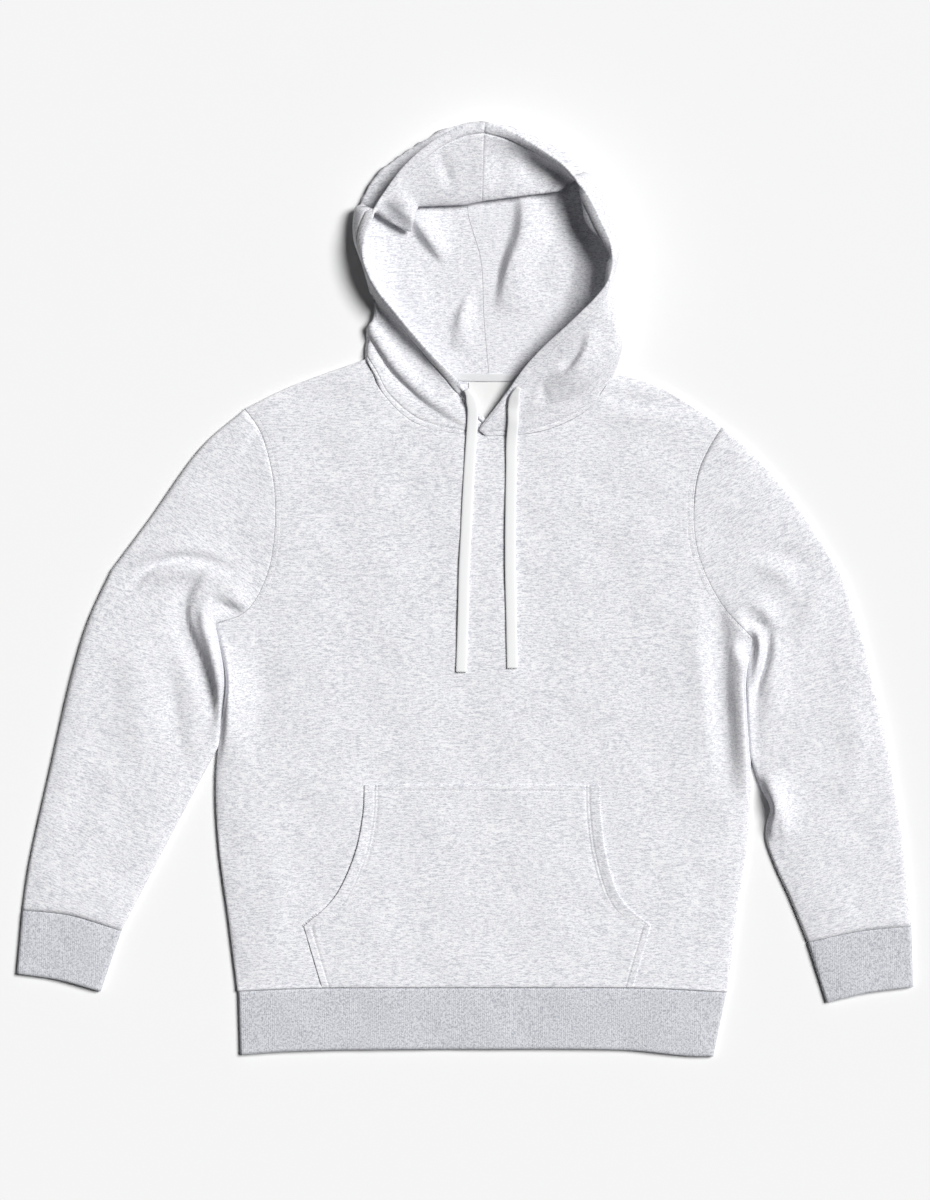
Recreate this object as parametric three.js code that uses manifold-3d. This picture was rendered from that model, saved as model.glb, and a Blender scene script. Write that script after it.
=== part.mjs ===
// A pullover hoodie in heather grey brushed fleece, size L, laid out flat on its back with the hood open.
// Millimetres. +X is to the right as it is looked down on, +Y from hem to hood, +Z up off the surface.
// Each piece that a maker cuts and sews is one closed solid: a wall of cloth, with a small gap at each seam.
import * as THREE from "three";
import Module from "manifold-3d";
import { mergeVertices } from "three/addons/utils/BufferGeometryUtils.js";

// Turns rows of numbers into objects with named columns.
const rows = (columns, table) => {
  const names = columns.split(" ");
  return table.map((row) => Object.fromEntries(names.map((name, i) => [name, row[i]])));
};

// Cloth and seams.
const FLEECE = 2.6; // brushed fleece
const RIB = 3.0; // rib knit, folded double
const HOOD_CLOTH = 3.0; // two plies of the same jersey, sewn edge to edge
const SEAM_GAP = 0.3;
const CLOTH_COLOUR = 0xd9dade;
const RIB_COLOUR = 0xb9bac0;
const CORD_COLOUR = 0xe6e6ea;
const LABEL_COLOUR = 0xf4f4f4;

// How high the cloth lies: each outer edge is low and round, and the middle rises to a low crown.
const LEVELS = {
  body: { edge: FLEECE * 2 + SEAM_GAP, crown: 8.9, roll: 38 },
  rib: { edge: RIB * 2 + SEAM_GAP, crown: 7.7, roll: 26 },
};
const FLAT_ROUND = 2.7; // height of the widest point of a flattened tube

// Stitched pieces.
const TAPE = { width: 8, thick: 1.0, low: 3.3, from: 2, to: 6 }; // on the back neck seam, between two of its points
const LABEL = { left: 4, width: 46, top: 221, drop: 43, thick: 0.8, low: 2.9 }; // a blank woven label
const CORD = { width: 11.5, thick: 2.4, round: 0.55, steps: 26 }; // a flat braid
// The centres of the drawstrings, from where they leave the hood's hem to their free ends.
const CORD_ROUTES = {
  left: rows("x y z", [
    [1, 213, 16.3], [5, 206, 15.1], [8, 194, 13.5], [8, 180, 11.6], [7, 165, 10.6], [6, 150, 10.6],
    [4, 120, 10.7], [1, 61, 10.7], [-1, 20, 10.7], [-2, -25, 10.7], [-4, -86, 10.7],
  ]),
  right: rows("x y z", [
    [57, 215, 24.5], [53, 206, 22.3], [51, 194, 18.2], [51, 180, 16.4], [50, 167, 13.2], [49, 152, 11.2],
    [49, 135, 10.9], [48, 61, 10.9], [48, 20, 10.9], [49, -25, 10.9], [50, -82, 10.9],
  ]),
};

// Outlines of the laid-out pieces, seen from above. Each runs upwards or from left to right.
const OUTLINE = {
  sideLeft: rows("x y", [[-240, -424], [-249, -352], [-260, -269], [-263, -200], [-257, -130], [-254, -92], [-264, -35]]),
  sideRight: rows("x y", [[277, -425], [287, -343], [298, -269], [302, -195], [299, -131], [298, -95], [304, -50]]),
  armholeLeft: rows("x y", [[-264, -35], [-232, -22], [-210, 15], [-201, 65], [-203, 120], [-217, 170], [-233, 193]]),
  armholeRight: rows("x y", [[304, -50], [272, -14], [248, 36], [242, 80], [247, 126], [259, 153], [272, 174]]),
  shoulderLeft: rows("x y", [[-233, 193], [-186, 216], [-104, 246]]),
  shoulderRight: rows("x y", [[157, 233], [215, 211], [272, 174]]),
  neckFront: rows("x y", [[-104, 246], [-93, 218], [-56, 180], [-10, 167], [40, 165], [85, 170], [126, 190], [148, 215], [157, 233]]),
  neckBack: rows("x y", [[-104, 246], [-40, 230], [21, 226], [90, 228], [157, 233]]),
  hemSeam: rows("x y", [[-240, -424], [-175, -421], [16, -420], [204, -421], [277, -425]]),
  hemEnd: rows("x y", [[-238, -491], [-179, -487], [16, -485], [170, -486], [234, -492], [263, -493]]),
  sleeveOuterLeft: rows("x y", [
    [-469, -338], [-462, -290], [-440, -190], [-416, -86], [-400, -33],
    [-375, 22], [-336, 74], [-278, 154], [-233, 193],
  ]),
  sleeveInnerLeft: rows("x y", [[-364, -360], [-326, -287], [-287, -213]]),
  sleevePastLeft: rows("x y", [[-228, -28], [-192, 10], [-198, 196]]), // inside the armhole: below, beside, above
  sleeveOuterRight: rows("x y", [
    [473, -355], [463, -255], [444, -142], [431, -89], [417, -33],
    [398, 20], [344, 102], [296, 155], [272, 174],
  ]),
  sleeveInnerRight: rows("x y", [
    [363, -372], [344, -325], [329, -292], [319, -263], [319, -248], [323, -230], [314, -210],
  ]),
  sleevePastRight: rows("x y", [[268, -40], [230, 10], [240, 178]]),
  cuffSeamLeft: rows("x y", [[-469, -338], [-419, -343], [-364, -360]]),
  cuffSeamRight: rows("x y", [[473, -355], [419, -360], [363, -372]]),
  cuffEndLeft: rows("x y", [[-475, -405], [-429, -412], [-386, -424]]),
  cuffEndRight: rows("x y", [[475, -419], [424, -426], [383, -436]]),
  pocketLeft: rows("x y", [[-151, -419], [-170, -355], [-138, -325], [-116, -279], [-107, -235], [-106, -206]]),
  pocketRight: rows("x y", [[177, -419], [196, -354], [166, -328], [149, -280], [143, -235], [142, -206]]),
};
const SLEEVE_ELBOW = 5; // the row of each outer edge that lies across from the underarm
const POCKET_CORNER = 1; // the row of each pocket outline where its opening starts

// Soft folds of the top layer. Each runs from start to end, bowed sideways, and is high at its middle.
// A negative height is a trough.
const FOLDS = rows("x0 y0 x1 y1 bow width height", [
  [-266, -20, -262, -150, 8, 13, 6.5], // left sleeve, rolled up against the body
  [-352, 2, -262, 4, 22, 11, 4.0], // left sleeve, the arch over the underarm
  [-362, 22, -272, 34, 12, 9, -2.0],
  [-262, 2, -216, -8, 4, 9, 3.5], // left underarm
  [-243, -40, -240, -160, 0, 14, 2.5], // body beside the left underarm
  [296, -60, 297, -180, -2, 7, 5.0], // body's right edge, rolled up
  [282, -38, 284, -170, 0, 9, -2.4],
  [303, 24, 350, -4, 12, 9, 3.5], // right sleeve, the gather over the underarm
  [300, 38, 372, 30, 4, 8, -1.8],
  [322, -20, 318, -150, 6, 10, 4.5],
  [316, -205, 334, -275, 0, 8, 3.5], // right sleeve, the turned edge at the elbow
  [350, -60, 384, 10, -6, 14, 2.2],
  [150, 205, 240, 196, -5, 9, -2.2], // right shoulder, beside the neck
  [-395, -322, -378, -342, 0, 5, -1.0],
  [408, -330, 424, -346, 0, 5, -1.0],
]);

// The face opening's edge, from the front of the neck up to the middle of the forehead.
// Columns: the edge's place and height; foldZ, the height of the flap's lower edge where the forehead folds in; sag, how
// steeply the cloth falls beside the edge before it runs out to the neck; lobe, how far the side bulges outwards, past
// the edge; crest, the height of a fold on the way to the neck seam, and belly, how far the cloth swells on that way.
const HOOD_LEFT = rows("x y z foldZ sag lobe crest belly", [
  [33, 171, 4.4, 28, 0, 0, 0, 0],
  [20, 182, 6, 28, 0.05, 0, 0, 0],
  [6, 204, 9, 28, 0.1, 0, 1, 0],
  [-14, 229, 15, 28, 0.6, 0, 2, 1],
  [-36, 252, 21, 28, 1, 0, 3.5, 2],
  [-57, 276, 27, 28, 1, 2, 4.5, 3],
  [-75, 298, 31, 28, 1, 4, 4.5, 4],
  [-89, 315, 33, 28, 1, 7, 2.5, 4],
  [-99, 332, 33, 28, 0.6, 10, 0, 2],
  [-105, 353, 33, 28, 0.3, 11, 0, 0],
  [-104, 374, 33, 28, 0, 13, 0, 0],
  [-97, 395, 33, 28, 0, 17, 0, 0],
  [-87, 414, 33, 17, 0, 19, 0, 0],
  [-75, 432, 34, 14.7, 0, 18, 0, 0],
  [-60, 450, 35, 14, 0, 13, 0, 0],
  [-42, 466, 36, 13.6, 0, 9, 0, 0],
  [-22, 480, 35, 13.3, 0, 7, 0, 0],
  [0, 489, 35, 12.9, 0, 5, 0, 0],
  [21, 492, 35, 12.5, 0, 4, 0, 0],
]);
const HOOD_RIGHT = rows("x y z foldZ sag lobe crest belly", [
  [15, 171, 8.2, 34, 0, 0, 0, 0],
  [30, 190, 12, 34, 0, 0, 0, 0],
  [45, 210, 17, 34, 0, 0, 0.5, 0],
  [62, 234, 23, 34, 0, 0, 1, 2],
  [82, 256, 30, 34, 0, 0, 1.5, 5],
  [103, 275, 37, 34, 0, 2, 1.5, 10],
  [121, 292, 42, 34, 0, 5, 1, 16],
  [137, 308, 46, 34, 0, 9, 0.5, 15],
  [149, 325, 49, 34, 0, 11, 0, 18],
  [154, 345, 50, 34, 0, 9, 0, 6],
  [151, 367, 50, 34, 0, 10, 0, 0],
  [142, 387, 49, 34, 0, 13, 0, 0],
  [132, 408, 48, 34, 0, 15, 0, 0],
  [119, 428, 46, 30, 0, 15, 0, 0],
  [104, 446, 44, 16, 0, 14, 0, 0],
  [85, 460, 42, 15.1, 0, 12, 0, 0],
  [65, 473, 40, 14.3, 0, 9, 0, 0],
  [43, 485, 37, 13.4, 0, 6, 0, 0],
  [21, 492, 35, 12.5, 0, 4, 0, 0],
]);
// The lower edge of the flap, as seen from above, and the row of the tables after which the flap starts.
const FOLD_EDGE = rows("x y", [[-95, 397], [-61, 390], [-54, 408], [-30, 408], [0, 409], [18, 413], [58, 418], [122, 425]]);
const FLAP_ROW = 11;
const HOOD = {
  centre: new THREE.Vector2(15, 330), // the cloth at the forehead leans in towards this
  floor: HOOD_CLOTH, // height of the inner face where the hood rests
  foldDepth: 6.5, // height of the flap's rounded lower edge
  underfold: 5, // height of the hidden ply on its way back to the crown
  shortSection: 12, // sections up to this length run straight from edge to seam
  longSection: 60, // and from this length on they sag in full
  turnStart: 9, // how far from its outermost point the hidden ply starts to turn under
  floorStart: 10, // how far in from the edge the cloth first lies flat
  tuckStart: 8, // a lean inwards of this much starts to fold under
  tuckFull: 20, // and one of this much is folded in full
  samples: [2, 2, 3, 3, 3, 3, 2], // steps along each stretch of a section
  frontLifts: { left: [-2.8, -1.2, -0.2], right: [0.5, 0.2] }, // one front end lies on the other
};
// The seam down the middle of the hood, from above the back of the neck to the crown.
const HOOD_SEAM = rows("x y", [[20, 290], [17, 350], [8, 400], [6, 440], [10, 472]]);

// Steps along each seam. Pieces that meet share these, so their edges match.
const STEPS = { shoulder: 4, neck: 14, side: 12, armhole: 9, neckBack: 8, hoodSeam: 7, rib: 3 };
const ACROSS_BODY = 2 * STEPS.shoulder + STEPS.neck;
// A sleeve's rows: those of its own free inner edge, those that lie along the body's side, and those of the sleeve's
// cap, whose inner ends lie inside the body and are trimmed off along the armhole.
const SLEEVE_STEPS = { free: 9, beside: 4, cap: 6, across: 8 };

// Flat curves and their points.
const flat = (p) => new THREE.Vector3(p.x, p.y, 0);
const curveThrough = (points) => new THREE.CatmullRomCurve3(points.map(flat), false, "centripetal");
const along = (points, steps) => curveThrough(points).getSpacedPoints(steps);
const chain = (...parts) => parts.flatMap((part, i) => (i ? part.slice(1) : part));
const lerp = (a, b, t) => a.clone().lerp(b, t);

// Moves a flat line of points sideways, to its left for a positive distance.
function shifted(points, distance) {
  return points.map((p, i) => {
    const before = points[Math.max(i - 1, 0)];
    const after = points[Math.min(i + 1, points.length - 1)];
    const way = after.clone().sub(before).normalize();
    return new THREE.Vector3(p.x - way.y * distance, p.y + way.x * distance, 0);
  });
}

const side = {
  left: along(OUTLINE.sideLeft, STEPS.side),
  right: along(OUTLINE.sideRight, STEPS.side),
};
const armhole = {
  left: along(OUTLINE.armholeLeft, STEPS.armhole),
  right: along(OUTLINE.armholeRight, STEPS.armhole),
};
const shoulder = {
  left: along(OUTLINE.shoulderLeft, STEPS.shoulder),
  right: along(OUTLINE.shoulderRight, STEPS.shoulder),
};
const neckFront = along(OUTLINE.neckFront, STEPS.neck);
const neckBack = along(OUTLINE.neckBack, STEPS.neckBack);
const hemSeam = along(OUTLINE.hemSeam, ACROSS_BODY);

// The outer edges, where the cloth rolls down.
const FREE_EDGES = [
  side.left, side.right, shoulder.left, shoulder.right,
  along(OUTLINE.sleeveOuterLeft, 24), along(OUTLINE.sleeveInnerLeft, 14),
  along(OUTLINE.sleeveOuterRight, 24), along(OUTLINE.sleeveInnerRight, 14),
  along([OUTLINE.hemSeam[0], OUTLINE.hemEnd[0]], 1),
  along([OUTLINE.hemSeam.at(-1), OUTLINE.hemEnd.at(-1)], 1),
  along([OUTLINE.cuffSeamLeft[0], OUTLINE.cuffEndLeft[0]], 1),
  along([OUTLINE.cuffSeamLeft.at(-1), OUTLINE.cuffEndLeft.at(-1)], 1),
  along([OUTLINE.cuffSeamRight[0], OUTLINE.cuffEndRight[0]], 1),
  along([OUTLINE.cuffSeamRight.at(-1), OUTLINE.cuffEndRight.at(-1)], 1),
];

function distanceToLine(x, y, line) {
  let nearest = Infinity;
  for (let i = 1; i < line.length; i++) {
    const a = line[i - 1];
    const dx = line[i].x - a.x;
    const dy = line[i].y - a.y;
    const t = THREE.MathUtils.clamp(((x - a.x) * dx + (y - a.y) * dy) / (dx * dx + dy * dy), 0, 1);
    nearest = Math.min(nearest, Math.hypot(x - a.x - t * dx, y - a.y - t * dy));
  }
  return nearest;
}

// A fold's share of the height at a point: a soft ridge that dies away at both ends.
function foldHeight(fold, x, y) {
  const dx = fold.x1 - fold.x0;
  const dy = fold.y1 - fold.y0;
  const length = Math.hypot(dx, dy);
  const t = ((x - fold.x0) * dx + (y - fold.y0) * dy) / (length * length);
  if (t <= 0 || t >= 1) return 0;
  const sideways = (-(x - fold.x0) * dy + (y - fold.y0) * dx) / length - fold.bow * 4 * t * (1 - t);
  return fold.height * Math.sin(Math.PI * t) * Math.exp(-((sideways / fold.width) ** 2));
}

// Height of the top face of the cloth over a point of the plan.
function topHeight(x, y, level = LEVELS.body) {
  const distance = Math.min(...FREE_EDGES.map((edge) => distanceToLine(x, y, edge)));
  const t = Math.min(distance / level.roll, 1);
  const crown = level.edge + (level.crown - level.edge) * Math.sqrt(1 - (1 - t) ** 2);
  const folds = FOLDS.reduce((sum, fold) => sum + foldHeight(fold, x, y), 0);
  return Math.max(crown + folds * Math.min(1, distance / 4), level.edge);
}

// A four-sided patch of the plan between its edges, as patch(u, v) with u across and v up.
function planPatch(left, right, bottom, top) {
  const at = (line, t) => {
    const place = t * (line.length - 1);
    const i = Math.min(Math.floor(place), line.length - 2);
    return lerp(line[i], line[i + 1], place - i);
  };
  return (u, v) => {
    const across = lerp(at(left, v), at(right, v), u);
    const up = lerp(at(bottom, u), at(top, u), v);
    const corners = lerp(lerp(bottom[0], bottom.at(-1), u), lerp(top[0], top.at(-1), u), v);
    return across.add(up).sub(corners);
  };
}

// A closed solid from an outer and an inner grid of points with the same rows and columns.
// A grid whose rows close on themselves makes a tube.
function wallSolid(outer, inner, ring = false) {
  const n = outer[0].length;
  const all = [...outer.flat(), ...inner.flat()];
  const offset = outer.length * n;
  const index = [];
  const quad = (a, b, c, d) => index.push(a, b, c, a, c, d);
  const columns = ring ? n : n - 1;
  const last = outer.length - 1;
  for (let i = 0; i < columns; i++) {
    const next = (i + 1) % n;
    for (let k = 0; k < last; k++) {
      const [a, b, c, d] = [k * n + i, k * n + next, (k + 1) * n + next, (k + 1) * n + i];
      quad(a, b, c, d);
      quad(offset + d, offset + c, offset + b, offset + a);
    }
    quad(offset + i, offset + next, next, i);
    quad(last * n + i, last * n + next, offset + last * n + next, offset + last * n + i);
  }
  for (let k = 0; k < last && !ring; k++) {
    quad(k * n, (k + 1) * n, offset + (k + 1) * n, offset + k * n);
    quad(offset + k * n + n - 1, offset + (k + 1) * n + n - 1, (k + 1) * n + n - 1, k * n + n - 1);
  }
  const geometry = new THREE.BufferGeometry();
  geometry.setAttribute("position", new THREE.Float32BufferAttribute(all.flatMap((p) => [p.x, p.y, p.z]), 3));
  geometry.setIndex(index);
  return geometry;
}

// A single layer of cloth lying over the plan, from the grid of a patch.
function layer(patch, across, up, top, thick, lift = 0) {
  const outer = [];
  const inner = [];
  for (let k = 0; k <= up; k++) {
    const points = Array.from({ length: across + 1 }, (_, i) => patch(i / across, k / up));
    const high = points.map((p) => new THREE.Vector3(p.x, p.y, top(p.x, p.y) + lift));
    outer.push(high);
    inner.push(high.map((p) => new THREE.Vector3(p.x, p.y, p.z - thick)));
  }
  return wallSolid(outer, inner);
}

// A tube of cloth pressed flat: a top and a bottom layer in one wall, round at both sides and open at both ends.
function flatTube(patch, across, up, top, thick) {
  const outer = [];
  const inner = [];
  const round = [0, 1.3, 5]; // how far in from the side the outer wall's first points lie
  const innerRound = [thick + 0.5, thick + 1.2, 5 + thick / 2];
  for (let k = 0; k <= up; k++) {
    const v = k / up;
    const width = patch(0, v).distanceTo(patch(1, v));
    const ringAt = (insets, build) => {
      const shares = insets.map((inset) => inset / width);
      const middle = Array.from({ length: across - 1 }, (_, i) => (i + 1) / across);
      const us = [...shares, ...middle, ...shares.map((s) => 1 - s).reverse()];
      const upper = us.map((u, i) => build(patch(u, v), i === 0 || i === us.length - 1, true));
      const lower = us.slice(1, -1).reverse().map((u) => build(patch(u, v), false, false));
      return [...upper, ...lower];
    };
    outer.push(ringAt(round, (p, isSide, isTop) => {
      return new THREE.Vector3(p.x, p.y, isSide ? FLAT_ROUND : isTop ? top(p.x, p.y) : 0);
    }));
    inner.push(ringAt(innerRound, (p, isSide, isTop) => {
      const high = Math.max(top(p.x, p.y) - thick, thick + SEAM_GAP);
      return new THREE.Vector3(p.x, p.y, isSide ? thick + SEAM_GAP / 2 : isTop ? high : thick);
    }));
  }
  return wallSolid(outer, inner, true);
}

// A flat slab with an outline, standing on a height.
function slab(outline, thick, low = 0) {
  const shape = new THREE.Shape(outline.map((p) => new THREE.Vector2(p.x, p.y)));
  return new THREE.ExtrudeGeometry(shape, { depth: thick, bevelEnabled: false }).translate(0, 0, low);
}

// What is left of a solid when another is taken away from it.
const wasm = await Module();
wasm.setup();
function solidOf(geometry) {
  const bare = geometry.clone();
  bare.deleteAttribute("normal");
  bare.deleteAttribute("uv");
  const merged = mergeVertices(bare);
  const vertProperties = Float32Array.from(merged.attributes.position.array);
  const triVerts = Uint32Array.from(merged.index.array);
  return new wasm.Manifold(new wasm.Mesh({ numProp: 3, vertProperties, triVerts }));
}
function trimmed(geometry, cutter) {
  const mesh = solidOf(geometry).subtract(solidOf(cutter)).getMesh();
  const result = new THREE.BufferGeometry();
  result.setAttribute("position", new THREE.Float32BufferAttribute(mesh.vertProperties, 3));
  result.setIndex(Array.from(mesh.triVerts));
  return result;
}

const CUTTER = { low: -1, height: 60, slope: 80 };
const bodyTop = (x, y) => topHeight(x, y);
const ribTop = (x, y) => topHeight(x, y, LEVELS.rib);

function makeFront() {
  const patch = planPatch(
    chain(side.left, armhole.left),
    chain(side.right, armhole.right),
    hemSeam,
    chain(shoulder.left, neckFront, shoulder.right),
  );
  return layer(patch, ACROSS_BODY, STEPS.side + STEPS.armhole, bodyTop, FLEECE);
}

function makeBack() {
  const rightUp = chain(side.right, armhole.right);
  const topBack = chain(shoulder.left, neckBack, shoulder.right).reverse();
  const leftDown = chain(side.left, armhole.left).reverse();
  return slab(chain(hemSeam, rightUp, topBack, leftDown).slice(0, -1), FLEECE);
}

// A sleeve, from its cuff seam to past the armhole, then trimmed along the armhole and the body's side.
// hand is 1 for the left sleeve, which lies to the left of the body's edge, and -1 for the right one.
function makeSleeve(outerEdge, innerEdge, pastLine, cuffSeam, sideLine, armholeLine, hand) {
  const bodyEdge = shifted(chain(sideLine, armholeLine), hand * SEAM_GAP);
  const underarm = sideLine.length - 1;
  const tip = bodyEdge.at(-1);
  const beside = bodyEdge.slice(underarm - SLEEVE_STEPS.beside, underarm + 1);
  const [below, inside, above] = pastLine.map(flat);
  const elbow = flat(outerEdge[SLEEVE_ELBOW]);
  const outer = chain(
    along(outerEdge.slice(0, SLEEVE_ELBOW + 1), SLEEVE_STEPS.free + SLEEVE_STEPS.beside),
    along([elbow, ...outerEdge.slice(SLEEVE_ELBOW + 1, -1), tip], SLEEVE_STEPS.cap),
    [tip, above],
  );
  const end = [above, lerp(inside, above, 0.2)];
  const inner = chain(
    along([...innerEdge, beside[0]], SLEEVE_STEPS.free),
    beside,
    along([beside.at(-1), below, inside], SLEEVE_STEPS.cap),
    [inside, end[1]],
  );
  const cuff = along(cuffSeam, SLEEVE_STEPS.across);
  const patch = hand > 0 ? planPatch(outer, inner, cuff, end) : planPatch(inner, outer, cuff.reverse(), end.reverse());
  const tube = flatTube(patch, SLEEVE_STEPS.across, outer.length - 1, bodyTop, FLEECE);
  const farSide = [new THREE.Vector3(0, tip.y + CUTTER.slope, 0), new THREE.Vector3(0, bodyEdge[0].y, 0)];
  return trimmed(tube, slab([...bodyEdge, ...farSide], CUTTER.height, CUTTER.low));
}

// A band of rib between a seam and its own free end, both from left to right.
function makeRib(seam, end, across) {
  const top = seam.map((p) => new THREE.Vector3(p.x, p.y - SEAM_GAP, 0));
  const bottom = along(end, across);
  const left = along([bottom[0], top[0]], STEPS.rib);
  const right = along([bottom.at(-1), top.at(-1)], STEPS.rib);
  return flatTube(planPatch(left, right, bottom, top), across, STEPS.rib, ribTop, RIB);
}

function makePocket() {
  const edge = (outline) =>
    chain(
      along(outline.slice(0, POCKET_CORNER + 1), 2),
      along(outline.slice(POCKET_CORNER), 6),
    );
  const left = edge(OUTLINE.pocketLeft);
  const right = edge(OUTLINE.pocketRight);
  const bottom = along([left[0], right[0]], 10);
  const top = along([left.at(-1), right.at(-1)], 10);
  return layer(planPatch(left, right, bottom, top), 10, 8, bodyTop, FLEECE, FLEECE + SEAM_GAP);
}

// How far it is from a point of the rim, towards the middle, to the flap's lower edge. 0 where the flap isn't met.
function toFold(edge) {
  const way = new THREE.Vector2(HOOD.centre.x - edge.x, HOOD.centre.y - edge.y).normalize();
  let reach = 0;
  FOLD_EDGE.slice(1).forEach((next, i) => {
    const from = FOLD_EDGE[i];
    const [dx, dy] = [next.x - from.x, next.y - from.y];
    const [gx, gy] = [from.x - edge.x, from.y - edge.y];
    const cross = way.x * dy - way.y * dx;
    const far = (gx * dy - gy * dx) / cross;
    const share = (gx * way.y - gy * way.x) / cross;
    if (share >= 0 && share <= 1 && far > 0) reach = far;
  });
  return reach;
}

// The way that a section of the hood takes, from the edge of the face opening to its far end.
// Sections near the front run down to the neck seam. The others bulge out, turn under and run in along the surface.
function hoodSection(row, end, wraps) {
  const edge = new THREE.Vector3(row.x, row.y, row.z);
  const inwards = new THREE.Vector2(HOOD.centre.x - row.x, HOOD.centre.y - row.y).normalize();
  const at = (inset, z) => new THREE.Vector3(row.x + inwards.x * inset, row.y + inwards.y * inset, z);
  const rise = row.z - HOOD.floor;
  const dip = rise * THREE.MathUtils.smoothstep(edge.distanceTo(end), HOOD.shortSection, HOOD.longSection);
  const straight = (t, lift) => {
    const swell = -row.belly * Math.sin(Math.PI * t);
    return lerp(edge, end, t).add(new THREE.Vector3(inwards.x * swell, inwards.y * swell, lift));
  };
  const gentle = [
    edge, straight(0.12, -0.1 * dip), straight(0.27, -0.14 * dip), straight(0.42, row.crest - 0.06 * dip),
    straight(0.56, row.crest), straight(0.68, -0.6 * row.crest), straight(0.84, -0.3 * row.crest), end,
  ];
  const steep = [
    edge, straight(0.07, -0.4 * rise), straight(0.16, -0.57 * rise), straight(0.32, -0.5 * rise),
    straight(0.52, row.crest - 0.34 * rise), straight(0.62, -0.4 * row.crest - 0.28 * rise),
    straight(0.8, -0.15 * rise), end,
  ];
  const down = gentle.map((p, i) => lerp(p, steep[i], row.sag));
  const bulge = [
    edge, at(-0.3 * row.lobe, HOOD.floor + 0.9 * rise), at(-0.7 * row.lobe, HOOD.floor + 0.72 * rise),
    at(-0.95 * row.lobe, HOOD.floor + 0.52 * rise), at(-row.lobe, HOOD.floor + 0.32 * rise),
    at(-0.7 * row.lobe, HOOD.floor + 0.1 * rise), at(12 - 0.2 * row.lobe, HOOD.floor), end,
  ];
  const tucked = [
    edge, at(0.55 * row.tuck, (row.z + row.foldZ) / 2 + 1), at(row.tuck, row.foldZ),
    at(row.tuck - 1, row.foldZ - HOOD.foldDepth), at(HOOD.turnStart - row.lobe, HOOD.underfold),
    at(-row.lobe, (HOOD.underfold + HOOD.floor) / 2), at(HOOD.floorStart, HOOD.floor), end,
  ];
  const tuckShare = THREE.MathUtils.smoothstep(row.tuck, HOOD.tuckStart, HOOD.tuckFull);
  const wrapped = bulge.map((p, i) => lerp(p, tucked[i], tuckShare));
  return wrapped.map((p, i) => lerp(down[i], p, wraps));
}

// Points along a section, closer together where it bends most.
function sectionPoints(controls) {
  const curve = new THREE.CatmullRomCurve3(controls, false, "centripetal");
  const stretches = controls.length - 1;
  const lowest = Math.min(controls.at(-1).z, HOOD.floor);
  const points = HOOD.samples.flatMap((steps, i) =>
    Array.from({ length: steps }, (_, k) => curve.getPoint((i + k / steps) / stretches)),
  );
  return [...points.map((p) => p.setZ(Math.max(p.z, lowest))), controls.at(-1).clone()];
}

// Points outwards from a hood panel's inner face. Along the seams the direction is set: straight up where the
// panel meets the front, outwards at the shoulders, and straight down where it meets the back and the other panel.
function hoodNormals(grid, turns, outwards, sign) {
  const row = (k) => grid[THREE.MathUtils.clamp(k, 0, grid.length - 1)];
  return grid.map((points, k) =>
    points.map((p, j) => {
      const end = points.length - 1;
      if (j === end) {
        const turn = Math.PI * turns[k];
        return outwards[k].clone().multiplyScalar(Math.sin(turn)).setZ(Math.cos(turn));
      }
      const section = points[j + 1].clone().sub(points[Math.max(j - 1, 0)]);
      const rim = row(k + 1)[j].clone().sub(row(k - 1)[j]);
      const normal = section.cross(rim).multiplyScalar(-sign);
      if (k === grid.length - 1) normal.x = 0;
      return normal.normalize();
    }),
  );
}

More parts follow.
